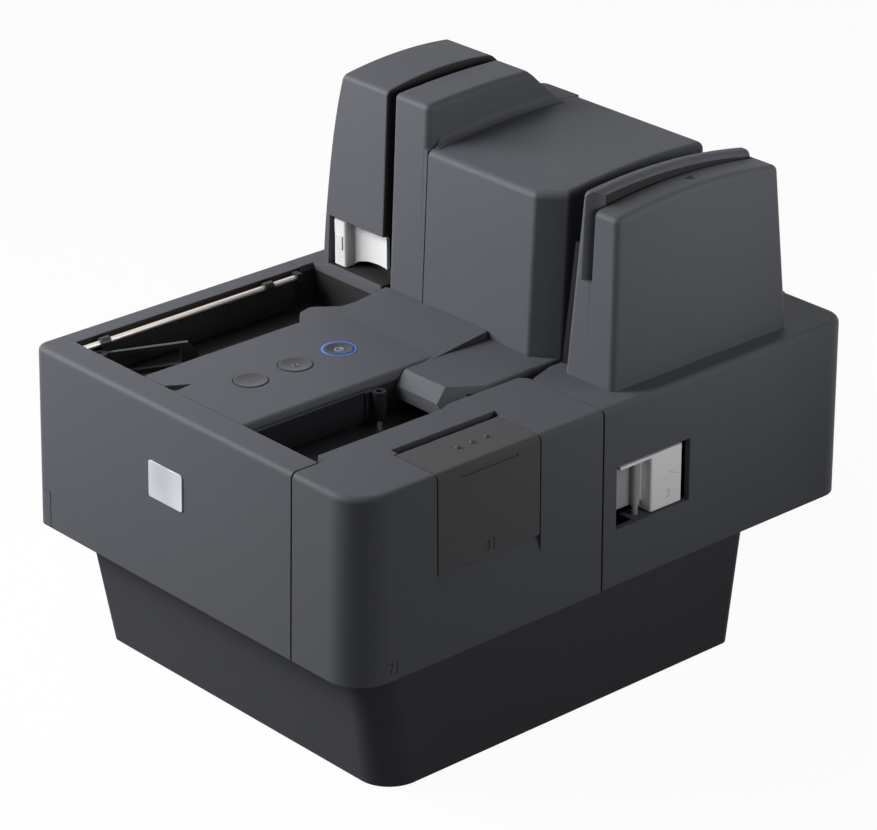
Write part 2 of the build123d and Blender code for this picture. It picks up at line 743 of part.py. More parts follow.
with BuildPart() as centre_tower_shell:
    shell_left_x = tower_seam_x + seam_half
    arched_tower(shell_left_x, track_right_x, deck_z, track_rear_y, *main_roof)
    split(bisect_by=chamfer_plane, keep=Keep.BOTTOM)
    fillet(upright_edge(centre_tower_shell, track_right_x, track_rear_y), tower_corner_radius)
    roof_edges = centre_tower_shell.edges().filter_by(
        lambda e: (e @ 0.5).Z > body_top_z + 60 and (e @ 0.5).X > shell_left_x + 1
    )
    roof_edges = roof_edges.filter_by(lambda e: abs((e @ 1 - e @ 0).Z) < 12)
    front_corners = centre_tower_shell.edges().filter_by(
        lambda e: abs((e @ 1 - e @ 0).Z) > 12 and 40 < (e @ 0.5).X and (e @ 0.5).Y < 40
    )
    fillet(roof_edges + front_corners, tower_top_radius)
    round_turn(track_right_x, 1)
    # hollow: the front room follows the leaning face, the back room the turn
    arched_tower(
        shell_left_x + wall, chamfer_start_x - 1.0, deck_z, rear_corner_y, *main_roof,
        skin=wall, mode=Mode.SUBTRACT,
    )
    rounded_block(
        (shell_left_x + wall, track_right_x - wall),
        (tower_front_y + chamfer_depth_y + wall, track_rear_y - wall),
        (0, 3, turn_radius - wall, 0),
        deck_z, body_top_z + centre_tower_height - 12, mode=Mode.SUBTRACT,
    )
    for y in (front_pair_y, back_pair_y):
        box_between(
            track_right_x - wall - 1, track_right_x + 1, y - 8.3, y + 8.3,
            window_low_z, window_high_z, mode=Mode.SUBTRACT,
        )
    box_between(
        track_right_x - wall - 1, track_right_x + 1, 49.8, 60.2, window_low_z, window_high_z,
        mode=Mode.SUBTRACT,
    )
save(centre_tower_shell, "centre_tower_shell")

cove_radius = 4.0
cove_step = 0.15
cover_right_x = tower_seam_x - seam_half
slope_foot_y = hump_end_y + hump_height - arch_height(98, *main_roof)
hump_roof = (hump_crest_y, hump_height, hump_arch_radius)

with BuildPart() as hump:
    arched_tower(track_left_x, cover_right_x, deck_z, hump_end_y, *hump_roof)
    side_prism(
        (
            (hump_end_y, body_top_z + 60),
            (hump_end_y, body_top_z + arch_height(hump_end_y, *hump_roof)),
            (slope_foot_y, body_top_z + arch_height(slope_foot_y, *main_roof)),
            (slope_foot_y, body_top_z + 60),
        ),
        track_left_x, cover_right_x,
    )
    hump_edges = hump.edges().filter_by(
        lambda e: (e @ 0.5).Z > body_top_z + 86 and (e @ 0.5).Y < hump_end_y - 1
    )
    hump_edges = hump_edges.filter_by(lambda e: abs((e @ 1 - e @ 0).Z) < 12)
    front_corners = hump.edges().filter_by(
        lambda e: (e @ 0.5).Y < 13 and abs((e @ 1 - e @ 0).Z) > 20
    )
    fillet(hump_edges + front_corners, tower_edge_radius)

with BuildPart() as inner_tower_cover:
    arched_tower(track_left_x, cover_right_x, deck_z, track_rear_y, *main_roof)
    fillet(upright_edge(inner_tower_cover, track_left_x, track_rear_y), tower_corner_radius)
    left_corner = inner_tower_cover.edges().filter_by(
        lambda e: (e @ 0.5).X < track_left_x + 1 and (e @ 0.5).Y < 13 and abs((e @ 1 - e @ 0).Z) > 20
    )
    fillet(left_corner, tower_edge_radius)
    add(hump.part)
    round_turn(track_left_x, -1)
    arched_tower(
        track_left_x + wall, cover_right_x - 2, deck_z, rear_corner_y, *main_roof,
        skin=wall, mode=Mode.SUBTRACT,
    )
    arched_tower(
        track_left_x + wall, cover_right_x - 2, deck_z, hump_end_y - 3, *hump_roof,
        skin=wall, mode=Mode.SUBTRACT,
    )
    rounded_block(
        (track_left_x + wall, cover_right_x - 2),
        (tower_front_y + chamfer_depth_y + wall, track_rear_y - wall),
        (0, 0, 0, turn_radius - 8),
        deck_z, body_top_z + centre_tower_height - 12, mode=Mode.SUBTRACT,
    )
    for y in (front_pair_y, back_pair_y):
        box_between(
            track_left_x - 1, track_left_x + wall + 1, y - 8.3, y + 8.3,
            window_low_z, window_high_z, mode=Mode.SUBTRACT,
        )
    box_between(
        track_left_x - 1, track_left_x + wall + 1, *sensor_y, sensor_low_z, sensor_high_z,
        mode=Mode.SUBTRACT,
    )

# The cove blends the hump's side into the main roof, from the front to the slope.
cove_front_y = tower_front_y + 7.5
roof_centre_z = body_top_z + centre_tower_height - centre_arch_radius
with BuildPart() as cove:
    low_x = cover_right_x - 0.1
    low_z = body_top_z + centre_tower_height + cove_step
    with BuildSketch(Plane.XZ.offset(-centre_crest_y)) as section:
        with BuildLine():
            Polyline(
                (cover_right_x, low_z + cove_radius), (low_x, low_z + cove_radius),
                (low_x, low_z), (cover_right_x + cove_radius, low_z),
            )
            RadiusArc(
                (cover_right_x + cove_radius, low_z), (cover_right_x, low_z + cove_radius),
                cove_radius,
            )
        make_face()
    roof_axis = Axis((0, centre_crest_y, roof_centre_z), (1, 0, 0))
    front_angle = degrees((centre_crest_y - cove_front_y) / centre_arch_radius)
    back_angle = degrees((slope_foot_y - centre_crest_y) / centre_arch_radius)
    revolve(section.sketch, axis=roof_axis, revolution_arc=front_angle)
    revolve(section.sketch, axis=roof_axis, revolution_arc=-back_angle)
    foot_z = body_top_z + arch_height(slope_foot_y, *main_roof)
    side_prism(
        (
            (slope_foot_y, foot_z), (slope_foot_y - 15, foot_z + 15),
            (slope_foot_y + 5, foot_z + 15), (slope_foot_y + 5, foot_z),
        ),
        low_x - 1, cover_right_x + cove_radius + 1, mode=Mode.SUBTRACT,
    )
    front_z = body_top_z + arch_height(cove_front_y, *main_roof)
    side_prism(
        (
            (cove_front_y, front_z), (cove_front_y + 7, front_z + 7),
            (cove_front_y - 5, front_z + 7), (cove_front_y - 5, front_z),
        ),
        low_x - 1, cover_right_x + cove_radius + 1, mode=Mode.SUBTRACT,
    )
with inner_tower_cover:
    add(cove.part)
save(inner_tower_cover, "inner_tower_cover")

with BuildPart() as inner_image_sensor:
    box_between(
        track_left_x + 0.2, track_left_x + 13, *inset(sensor_y, 0.3),
        sensor_low_z + 0.3, sensor_high_z - 0.3,
    )
    box_between(
        track_left_x, track_left_x + 0.6, *inset(sensor_y, 3), sensor_low_z + 4, sensor_high_z - 4,
        mode=Mode.SUBTRACT,
    )
save(inner_image_sensor, "inner_image_sensor")

with BuildPart() as inner_sensor_glass:
    box_between(
        track_left_x + 0.3, track_left_x + 0.6, *inset(sensor_y, 3.1),
        sensor_low_z + 4.1, sensor_high_z - 4.1,
    )
save(inner_sensor_glass, "inner_sensor_glass")

with BuildPart() as magnetic_ink_head:
    box_between(
        track_right_x - 14, track_right_x - 0.1, 50, 60, window_low_z + 0.3, window_high_z - 0.3
    )
    fillet(magnetic_ink_head.edges().filter_by(Axis.Z).group_by(Axis.X)[-1], 2.0)
    box_between(
        track_right_x - 14, track_right_x - wall - 0.3, 50, 60, deck_z, window_low_z + 0.3
    )
save(magnetic_ink_head, "magnetic_ink_head")

# ======================================================================
# Right transport cover with the card reader's tower
# ======================================================================
moving_low_z = underside_z + 0.5
cover_front_y = seam_right_y + seam / 2
card_tower_back_y = 119.5
card_tower_right_x = 101.2
card_tower_left_x = 70.3
card_tower_left_lean = 0.066
card_roof = (62.0, card_panel_height, 300.0)
fin_roof = (50.0, fin_height, 300.0)
window_right_y = (1.7, 47.0)
window_right_z = (85.0, 115.5)
fin_right_x = card_slot_x
fin_back_y = 110.0
panel_left_face_x = card_slot_x + card_slot_width
card_tower_back_lean = 0.08
card_side_lean = 0.035
slot_mouth_width = 6.8
slot_mouth_depth = 9.0
guide_rise = 60.0
guide_y = (16.0, 82.8)
right_lever_pin = (right_x - 6.5, 19.3)
idler_axle_radius = 1.5

with BuildPart() as right_transport_cover:
    outline = (
        (slot_side_x + 5.3, cover_front_y),
        (right_x, cover_front_y),
        (right_x, back_y),
        (right_hinge_x + hinge_radius + 0.5, back_y),
        (right_hinge_x + hinge_radius + 0.5, hinge_y - hinge_radius - 0.5),
        (right_hinge_x + hinge_radius, hinge_y - hinge_radius - 0.5),
        (right_hinge_x + hinge_radius, rear_corner_y),
        (track_right_outer_x, rear_corner_y),
        (track_right_outer_x, tower_front_y - 1),
    )
    prism(outline, moving_low_z, body_top_z)
    fillet(upright_edge(right_transport_cover, right_x, back_y), back_corner_radius)
    top_face = right_transport_cover.faces().sort_by(Axis.Z)[-1]
    rim_edges = top_face.edges().filter_by(
        lambda e: (e @ 0.5).X > 100 or ((e @ 0.5).Y > back_y - 1 and (e @ 0.5).X > 75)
    )
    rim_edges = rim_edges.filter_by(lambda e: (e @ 0.5).Y > cover_front_y + 1)
    fillet(rim_edges, top_edge_radius)
    # tower: outer panel, then the taller fin beside the card slot
    arched_tower(card_tower_left_x, card_tower_right_x, flange_z, card_tower_back_y, *card_roof)
    arched_tower(card_tower_left_x, fin_right_x, flange_z, fin_back_y, *fin_roof)
    front_prism(
        (
            (card_tower_left_x, body_top_z),
            (card_tower_left_x + card_tower_left_lean * 110, body_top_z + 110),
            (card_tower_left_x - 1, body_top_z + 110),
            (card_tower_left_x - 1, body_top_z),
        ),
        0, back_y, mode=Mode.SUBTRACT,
    )
    front_prism(
        (
            (card_tower_right_x, body_top_z),
            (card_tower_right_x - card_side_lean * 100, body_top_z + 100),
            (card_tower_right_x + 5, body_top_z + 100),
            (card_tower_right_x + 5, body_top_z),
        ),
        0, back_y, mode=Mode.SUBTRACT,
    )
    side_prism(
        (
            (card_tower_back_y, body_top_z),
            (card_tower_back_y + 1, body_top_z + 110),
            (card_tower_back_y - card_tower_back_lean * 110, body_top_z + 110),
        ),
        card_tower_left_x - 5, card_tower_right_x + 5, mode=Mode.SUBTRACT,
    )
    tower_edges = right_transport_cover.edges().filter_by(lambda e: (e @ 0.5).Z > body_top_z + 5)
    fillet(tower_edges.filter_by(lambda e: (e @ 0.5).X > fin_right_x + 3), tower_edge_radius)
    tower_edges = right_transport_cover.edges().filter_by(lambda e: (e @ 0.5).Z > body_top_z + 5)
    fin_edges = tower_edges.filter_by(
        lambda e: (e @ 0.5).X < fin_right_x - 2 or (
            (e @ 0.5).X < fin_right_x + 1 and (e @ 0.5).Z > body_top_z + card_panel_height + 1.5
        )
    )
    fillet(fin_edges.filter_by(lambda e: (e @ 0.5).Y < fin_back_y - 1), tower_edge_radius)
    # card slot, open at its top and both ends, with a rounded mouth at the front
    box_between(
        fin_right_x, panel_left_face_x, 0, back_y, body_top_z + card_slot_floor,
        body_top_z + 110, mode=Mode.SUBTRACT,
    )
    mouth_front_y = tower_front_y + tower_lean * card_slot_floor
    mouth_start = (fin_right_x - slot_mouth_width, mouth_front_y - 0.5)
    mouth_end = (fin_right_x, mouth_front_y + slot_mouth_depth)
    with BuildSketch(Plane.XY.offset(body_top_z + card_slot_floor)) as mouth:
        with BuildLine():
            Polyline(
                mouth_end, (panel_left_face_x, mouth_end[1]), (panel_left_face_x, mouth_start[1] - 1),
                (mouth_start[0], mouth_start[1] - 1), mouth_start,
            )
            ThreePointArc(
                mouth_start,
                (mouth_start[0] + slot_mouth_width * 0.72, mouth_start[1] + slot_mouth_depth * 0.36),
                mouth_end,
            )
        make_face()
    extrude(mouth.sketch, amount=64, dir=(0, tower_lean, 1), mode=Mode.SUBTRACT)
    # hollow body
    rounded_block(
        (0, right_x - wall), (cover_front_y + wall, back_y - wall),
        (0, 0, back_corner_radius - wall, 0), moving_low_z, flange_z, mode=Mode.SUBTRACT,
    )
    clear_frame()
    box_between(
        0, deck_right_x + 0.8, cover_front_y, hinge_y - 4.5, moving_low_z, flange_z,
        mode=Mode.SUBTRACT,
    )
    # rooms inside the tower
    side_prism(
        (
            (tower_front_y + 6, flange_z),
            (card_tower_back_y - 5, flange_z),
            (card_tower_back_y - 9, body_top_z + card_slot_floor - wall),
            (tower_front_y + 6, body_top_z + card_slot_floor - wall),
        ),
        card_tower_left_x + 9, card_tower_right_x - 4.5, mode=Mode.SUBTRACT,
    )
    box_between(
        panel_left_face_x + 2.4, card_tower_right_x - 6, tower_front_y + 9, card_tower_back_y - 15,
        body_top_z + 20, body_top_z + card_panel_height - 9, mode=Mode.SUBTRACT,
    )
    box_between(
        panel_left_face_x - 0.1, panel_left_face_x + 3, 50, 62,
        body_top_z + card_slot_floor + 5, body_top_z + card_slot_floor + 15, mode=Mode.SUBTRACT,
    )
    box_between(
        right_x - wall - 1, right_x + 1, *window_right_y, *window_right_z, mode=Mode.SUBTRACT
    )
    # lugs that carry the release lever
    for z in (window_right_z[0] - 2.5, window_right_z[1]):
        box_between(
            right_x - wall - 8, right_x - wall, right_lever_pin[1] - 5, right_lever_pin[1] + 5, z, z + 2.5
        )
        post(*right_lever_pin, hinge_pin_radius + pin_clearance, z, z + 2.5, mode=Mode.SUBTRACT)
    box_between(
        track_right_outer_x - 1, track_right_outer_x + 2.6, guide_y[0] - 0.3, guide_y[1] + 0.3,
        flange_z - 1, body_top_z, mode=Mode.SUBTRACT,
    )
    for x, y in idler_places[:2]:
        post(x, y, idler_axle_radius + pin_clearance, flange_z - 1, body_top_z - 1, mode=Mode.SUBTRACT)
    knuckles(right_hinge_x, 1)
    for index in (1, 3):
        box_between(
            right_hinge_x, right_hinge_x + 8, back_y - wall, back_y - 0.6,
            knuckle_zs[index], knuckle_zs[index + 1] - knuckle_gap,
        )
    clear_pin(right_hinge_x)
save(right_transport_cover, "right_transport_cover")

head_x = (panel_left_face_x + 0.5, panel_left_face_x + 7.3)
with BuildPart() as magnetic_stripe_head:
    box_between(*head_x, 50.2, 61.8, body_top_z + card_slot_floor + 5.2, body_top_z + card_slot_floor + 14.8)
    fillet(magnetic_stripe_head.edges().filter_by(Axis.Z).group_by(Axis.X)[0], 2.0)
save(magnetic_stripe_head, "magnetic_stripe_head")

with BuildPart() as right_track_guide:
    face_x = track_right_outer_x
    guide_top = body_top_z + guide_rise
    lean_top_x = card_tower_left_x + card_tower_left_lean * guide_rise - 0.3
    front_prism(
        (
            (face_x, deck_z + 0.4),
            (face_x + 2.2, deck_z + 0.4),
            (face_x + 2.2, body_top_z),
            (card_tower_left_x - 0.3, body_top_z),
            (lean_top_x, guide_top),
            (lean_top_x - 4.0, guide_top),
            (face_x, body_top_z),
        ),
        *guide_y,
    )
    for x, y in idler_places[:2]:
        box_between(face_x - 1, face_x + 8, y - 7, y + 7, window_low_z, window_high_z, mode=Mode.SUBTRACT)
save(right_track_guide, "right_track_guide")

# ---- Release levers
lever_y = (5.5, 43.8)
lever_block_y = 24.6
with BuildPart() as right_release_lever:
    lever_z = (window_right_z[0] + 0.6, window_right_z[1] - 2.0)
    lever_face_x = right_x - 1.6
    pin_x = right_lever_pin[0]
    plate_z = (lever_z[0] + 4, lever_z[1] - 1.0)
    post(*right_lever_pin, 2.2, *plate_z)
    box_between(pin_x - 3.0, pin_x - 1.2, lever_y[0], right_lever_pin[1], *plate_z)
    box_between(pin_x - 3.0, pin_x - 1.2, right_lever_pin[1], lever_block_y + 2, *plate_z)
    box_between(pin_x - 3, lever_face_x, lever_block_y, lever_y[1], *lever_z)
    fillet(upright_edge(right_release_lever, lever_face_x, lever_block_y), 1.2)
    box_between(pin_x - 3.0, lever_face_x, *lever_y, lever_z[1] - 1.4, lever_z[1])
    for y in lever_y:
        fillet(upright_edge(right_release_lever, lever_face_x, y), 0.9)
    post(
        *right_lever_pin, hinge_pin_radius, window_right_z[0] - 2.4, window_right_z[1] + 2.4
    )
save(right_release_lever, "right_release_lever")

# ======================================================================
# Left transport cover with its tower
# ======================================================================
left_front_y = seam_left_y + seam / 2
left_tower_front_y = 8.3
left_tower_right_x = -51.9
pocket_corner_x = -101.5
pocket_wall = 2.5
left_boundary_x = left_hinge_x - hinge_radius
lever_window_z = (body_top_z + 3, body_top_z + 27)
recess_depth = 13.0
left_lever_pin = (-83.8, 17.0)
left_block_x = (-88.2, -79.5)
left_block_y = (10.2, 15.4)
left_face = ((-93.6, 0.0), (-93.4, 12.4), (-91.6, 41.3), (-86.8, 79.6), (-79.6, 108.0))

with BuildPart() as left_transport_cover:
    outline = (
        (left_x, left_front_y),
        (pocket_corner_x, left_front_y),
        (pocket_corner_x, left_tower_front_y),
        (-55.9, left_tower_front_y),
        (-53.1, left_tower_front_y + 1.2),
        (left_tower_right_x, left_tower_front_y + 4),
        (left_tower_right_x, rear_corner_y),
        (left_boundary_x, rear_corner_y),
        (left_boundary_x, hinge_y - hinge_radius - 0.5),
        (left_boundary_x - 0.5, hinge_y - hinge_radius - 0.5),
        (left_boundary_x - 0.5, back_y),
        (left_x, back_y),
    )
    prism(outline, moving_low_z, body_top_z)
    fillet(upright_edge(left_transport_cover, left_x, back_y), back_corner_radius)
    top_face = left_transport_cover.faces().sort_by(Axis.Z)[-1]
    rim_edges = top_face.edges().filter_by(
        lambda e: (e @ 0.5).X < -105 or ((e @ 0.5).Y > back_y - 1 and (e @ 0.5).X < -70)
    )
    rim_edges = rim_edges.filter_by(lambda e: (e @ 0.5).Y > left_front_y + 1)
    fillet(rim_edges, top_edge_radius)
    # tower in side view, then its curved left face
    with BuildSketch(Plane.YZ.offset(left_face[0][0])) as side:
        with BuildLine():
            front_top = (left_tower_front_y + 5, body_top_z + left_tower_height - 3.7)
            crest = (45, body_top_z + left_tower_height + 0.4)
            back_top = (76, body_top_z + left_tower_height - 0.8)
            Polyline(
                (106, flange_z), (left_tower_front_y + 4, flange_z),
                (left_tower_front_y, body_top_z), front_top,
            )
            ThreePointArc(front_top, crest, back_top)
            Spline(
                back_top, (86, body_top_z + 86), (97, body_top_z + 62), (106, flange_z),
                tangents=((1, -0.35), (0.15, -1)),
            )
        make_face()
    extrude(side.sketch, amount=left_tower_right_x - left_face[0][0])
    with BuildSketch(Plane.XZ) as outside:
        with BuildLine():
            Spline(*((x, body_top_z + h) for x, h in left_face))
            Polyline(
                (left_face[-1][0], body_top_z + left_face[-1][1]),
                (left_face[-1][0] - 0.5, body_top_z + 120),
                (-120, body_top_z + 120),
                (-120, body_top_z),
                (left_face[0][0], body_top_z),
            )
        make_face()
    extrude(outside.sketch, amount=-back_y, mode=Mode.SUBTRACT)
    tower_edges = left_transport_cover.edges().filter_by(
        lambda e: (e @ 0.5).Z > body_top_z + 5 and abs((e @ 0.5).Y - back_top[0]) > 0.5
    )
    front_roof_edges = tower_edges.filter_by(
        lambda e: left_tower_right_x - 1 > (e @ 0.5).X > -88 and (e @ 0.5).Y < 40
    )
    fillet(front_roof_edges, tower_edge_radius)
    track_side_edges = left_transport_cover.edges().filter_by(
        lambda e: (e @ 0.5).Z > body_top_z + 1 and abs((e @ 0.5).X - left_tower_right_x) < 0.1
    )
    fillet(track_side_edges, crisp_edge_radius)
    box_between(
        left_tower_right_x - 2.6, left_tower_right_x + 1, rear_corner_y, back_y, flange_z - 1,
        body_top_z + 120, mode=Mode.SUBTRACT,
    )
    # window in the front face for the release lever
    box_between(
        -90.2, left_tower_right_x + 1, 0, left_tower_front_y + recess_depth, *lever_window_z,
        mode=Mode.SUBTRACT,
    )
    # hollow body and tower
    rounded_block(
        (left_x + wall, 0), (left_front_y + wall, back_y - wall),
        (0, 0, 0, back_corner_radius - wall), moving_low_z, flange_z, mode=Mode.SUBTRACT,
    )
    clear_frame()
    box_between(
        -103.5, 0, left_front_y, rear_corner_y + 32, moving_low_z, deck_z + 0.5,
        mode=Mode.SUBTRACT,
    )
    box_between(-80, -54.5, left_front_y + 2, rear_corner_y, deck_z, flange_z, mode=Mode.SUBTRACT)
    # wall that closes the exit pocket's back end
    prism(
        (
            (pocket_corner_x - pocket_wall, left_front_y),
            (pocket_corner_x, left_front_y),
            (pocket_corner_x, left_tower_front_y),
            (-55.9, left_tower_front_y),
            (-53.1, left_tower_front_y + 1.2),
            (left_tower_right_x, left_tower_front_y + 4),
            (left_tower_right_x - pocket_wall, left_tower_front_y + 4),
            (-56.9, left_tower_front_y + pocket_wall),
            (pocket_corner_x - pocket_wall, left_tower_front_y + pocket_wall),
        ),
        deck_z + 0.5, flange_z,
    )
    side_prism(
        (
            (left_tower_front_y + recess_depth + wall, flange_z - 1),
            (left_tower_front_y + recess_depth + wall, body_top_z + 90),
            (70, body_top_z + 92),
            (92, body_top_z + 55),
            (98, flange_z - 1),
        ),
        -80.5, -66.5, mode=Mode.SUBTRACT,
    )
    box_between(
        -67, left_tower_right_x + 1, *sensor_y, flange_z - 2, sensor_high_z, mode=Mode.SUBTRACT
    )
    for x, y in idler_places[2:]:
        box_between(x - 7, left_tower_right_x + 1, y - 7, y + 7, deck_z, window_high_z, mode=Mode.SUBTRACT)
    for x, y in idler_places[2:]:
        post(x, y, idler_axle_radius + pin_clearance, flange_z - 1, body_top_z - 1, mode=Mode.SUBTRACT)
    for z in (lever_window_z[0] - 2, lever_window_z[1] - 0.5):
        post(*left_lever_pin, hinge_pin_radius + pin_clearance, z, z + 2.5, mode=Mode.SUBTRACT)
    knuckles(left_hinge_x, 1)
    for index in (1, 3):
        box_between(
            left_hinge_x - 8, left_hinge_x, back_y - wall, back_y - 0.6,
            knuckle_zs[index], knuckle_zs[index + 1] - knuckle_gap,
        )
    clear_pin(left_hinge_x)
save(left_transport_cover, "left_transport_cover")

with BuildPart() as left_release_lever:
    block_z = (lever_window_z[0] + 0.5, lever_window_z[1] - 1.2)
    box_between(*left_block_x, *left_block_y, *block_z)
    fillet(left_release_lever.edges().filter_by(Axis.Z).group_by(Axis.Y)[0], 1.5)
    # a step in the left side and a raised pad for the finger
    box_between(
        left_block_x[0], left_block_x[0] + 1.0, left_block_y[0], left_block_y[1],
        block_z[0] + 8, block_z[0] + 15.5, mode=Mode.SUBTRACT,
    )
    box_between(
        left_block_x[0] + 2.2, left_block_x[1] - 2.2, left_block_y[0] - 0.5, left_block_y[0] + 0.5,
        block_z[0] + 8.5, block_z[0] + 15,
    )
    for y in (left_block_y[0] + 2.2, left_block_y[0] + 3.6):
        box_between(left_block_x[1] - 0.5, left_block_x[1], y - 0.3, y + 0.3, *block_z, mode=Mode.SUBTRACT)
    # curved plate that runs from the block into the tower's side
    with BuildSketch(Plane.XY.offset(block_z[0] + 1.0)) as curved:
        with BuildLine():
            ThreePointArc((left_block_x[1] - 1, 14.2), (-66, 16.4), (-54.5, 14.0))
            Line((-54.5, 14.0), (-54.5, 15.8))
            ThreePointArc((-54.5, 15.8), (-66, 18.2), (left_block_x[1] - 1, 16.0))
            Line((left_block_x[1] - 1, 16.0), (left_block_x[1] - 1, 14.2))
        make_face()
    extrude(curved.sketch, amount=block_z[1] - block_z[0] - 2)
    front_prism(
        (
            (left_block_x[1] + 0.1, block_z[0]), (left_block_x[1] + 2.5, block_z[0] + 2.4),
            (-71.0, block_z[0] + 4.0), (-54, block_z[0] + 5.6), (-54, block_z[0]),
        ),
        13.0, 20.0, mode=Mode.SUBTRACT,
    )
    post(*left_lever_pin, 2.6, *block_z)
    post(*left_lever_pin, hinge_pin_radius, block_z[0] - 2.3, block_z[1] + 2.6)
save(left_release_lever, "left_release_lever")

with BuildPart() as left_track_guide:
    box_between(
        track_left_outer_x - 2.2, track_left_outer_x, 17, rear_corner_y - 0.5,
        deck_z + 0.4, flange_z - 0.2,
    )
    for x, y in idler_places[2:]:
        box_between(
            x - 8, track_left_outer_x + 1, y - 7, y + 7, window_low_z, window_high_z,
            mode=Mode.SUBTRACT,
        )
    box_between(
        track_left_outer_x - 3, track_left_outer_x + 1, *sensor_y, sensor_low_z, flange_z,
        mode=Mode.SUBTRACT,
    )
save(left_track_guide, "left_track_guide")

with BuildPart() as left_image_sensor:
    box_between(
        left_tower_right_x - 14.5, left_tower_right_x - 0.4, *inset(sensor_y, 0.3),
        sensor_low_z + 0.3, sensor_high_z - 0.3,
    )
    box_between(
        left_tower_right_x - 1.0, left_tower_right_x, *inset(sensor_y, 3),
        sensor_low_z + 4, sensor_high_z - 4, mode=Mode.SUBTRACT,
    )
save(left_image_sensor, "left_image_sensor")

with BuildPart() as left_sensor_glass:
    box_between(
        left_tower_right_x - 1.0, left_tower_right_x - 0.7, *inset(sensor_y, 3.1),
        sensor_low_z + 4.1, sensor_high_z - 4.1,
    )
save(left_sensor_glass, "left_sensor_glass")

# ======================================================================
# Control panel, buttons and feeder cover
# ======================================================================
button_places = [(button_x, first_button_y + button_pitch * index) for index in range(3)]
panel_outline = (
    (panel_right_x, front_inner_y + 0.5),
    (panel_right_x, tower_front_y - 0.5),
    (-48.5, tower_front_y - 0.5),
    (-51.5, -1.0),
    (-52.0, -15.6),
    (-61.0, -27.3),
    (-59.0, -35.0),
    (panel_left_x, -42.2),
    (panel_left_x, front_inner_y + 0.5),
)
cap_rise = 0.3
dish_depth = 0.65
rim_width = 0.9
collar_width = 1.0
ring_flange = 1.0
board_top_z = deck_z + 10.6
key_board_posts = ((-40, -115), (10, -115), (-40, -32), (10, -32))
switch_top_z = body_top_z - 7.2
notch_depth = 2.2

with BuildPart() as control_panel:
    prism(panel_outline, deck_z, body_top_z)
    ramp_end_y = tower_front_y - 0.5
    side_prism(
        (
            (ramp_start_y, body_top_z - 0.5),
            (ramp_start_y, body_top_z),
            (ramp_end_y - 6, body_top_z + ramp_rise * 0.8),
            (ramp_end_y, body_top_z + ramp_rise),
            (ramp_end_y, body_top_z - 0.5),
        ),
        -49.0, panel_right_x,
    )
    right_edges = control_panel.edges().filter_by(
        lambda e: abs((e @ 0.5).X - panel_right_x) < 0.01 and (e @ 0.5).Z > body_top_z - 0.1
    )
    fillet(right_edges.filter_by(lambda e: (e @ 0.5).Y < ramp_start_y), 3.0)
    for corner, radius in (((-61.0, -27.3), 3.0), ((-59.0, -35.0), 3.0), ((-52.0, -15.6), 4.0)):
        fillet(upright_edge(control_panel, *corner), radius)
    # hollow under the skin
    box_between(
        panel_left_x + 2, panel_right_x - 2, front_inner_y + 2.5, tower_front_y - 3, deck_z,
        body_top_z - panel_skin, mode=Mode.SUBTRACT,
    )
    prism(
        (
            (panel_left_x + 2, -40.5), (-57.2, -34.0), (-58.6, -27.9), (-50.1, -16.5),
            (-49.6, -2), (-44, -2), (-44, -40.5),
        ),
        deck_z, body_top_z - panel_skin, mode=Mode.SUBTRACT,
    )
    prism(
        (
            (-36.5, front_inner_y), (-29.6, -121.1), (-28.5, front_inner_y),
        ),
        body_top_z - notch_depth, body_top_z, mode=Mode.SUBTRACT,
    )
    for x, y in button_places:
        post(x, y, button_radius + 0.2, body_top_z - panel_skin, body_top_z, mode=Mode.SUBTRACT)
    for x, y in key_board_posts:
        post(x, y, 3.0, board_top_z, body_top_z - panel_skin)
save(control_panel, "control_panel")

with BuildPart() as control_board:
    box_between(-44, 14, -119, -28, board_top_z - board_thickness, board_top_z)
    for x, y in button_places:
        box_between(x - 3, x + 3, y - 3, y + 3, board_top_z, switch_top_z)
    box_between(-40, -28, -90, -60, board_top_z, board_top_z + 2)
    for x, y in key_board_posts:
        post(x, y, 2.6, deck_z, board_top_z - board_thickness)
save(control_board, "control_board")


def push_button(x, y, cap_radius, collar_drop=panel_skin):
    """Dished cap with a collar under the panel and a stem on to its switch."""
    cap_low_z = body_top_z - 5
    cap_top_z = body_top_z + cap_rise
    dish_radius = (cap_radius - rim_width) ** 2 / (2 * dish_depth)
    post(x, y, cap_radius, cap_low_z, cap_top_z)
    with Locations((x, y, cap_top_z - dish_depth + dish_radius)):
        Sphere(dish_radius, mode=Mode.SUBTRACT)
    post(x, y, cap_radius + collar_width, cap_low_z, body_top_z - collar_drop - 0.1)
    post(x, y, 1.5, switch_top_z + button_travel + 0.1, cap_low_z)


with BuildPart() as start_button:
    push_button(*button_places[0], button_radius - 0.2)
save(start_button, "start_button")

with BuildPart() as stop_button:
    push_button(*button_places[1], button_radius - 0.2)
save(stop_button, "stop_button")

ring_width = 0.9
ring_inner_radius = button_radius + 0.1 - ring_width
with BuildPart() as power_button:
    push_button(*button_places[2], ring_inner_radius - 0.3, panel_skin + ring_flange)
save(power_button, "power_button")

with BuildPart() as power_light_ring:
    x, y = button_places[2]
    post(x, y, button_radius + 0.1, body_top_z - panel_skin, body_top_z + 0.2)
    post(x, y, button_radius + 2.0, body_top_z - panel_skin - ring_flange, body_top_z - panel_skin)
    post(x, y, ring_inner_radius, body_top_z - 5, body_top_z + 1, mode=Mode.SUBTRACT)
save(power_light_ring, "power_light_ring")

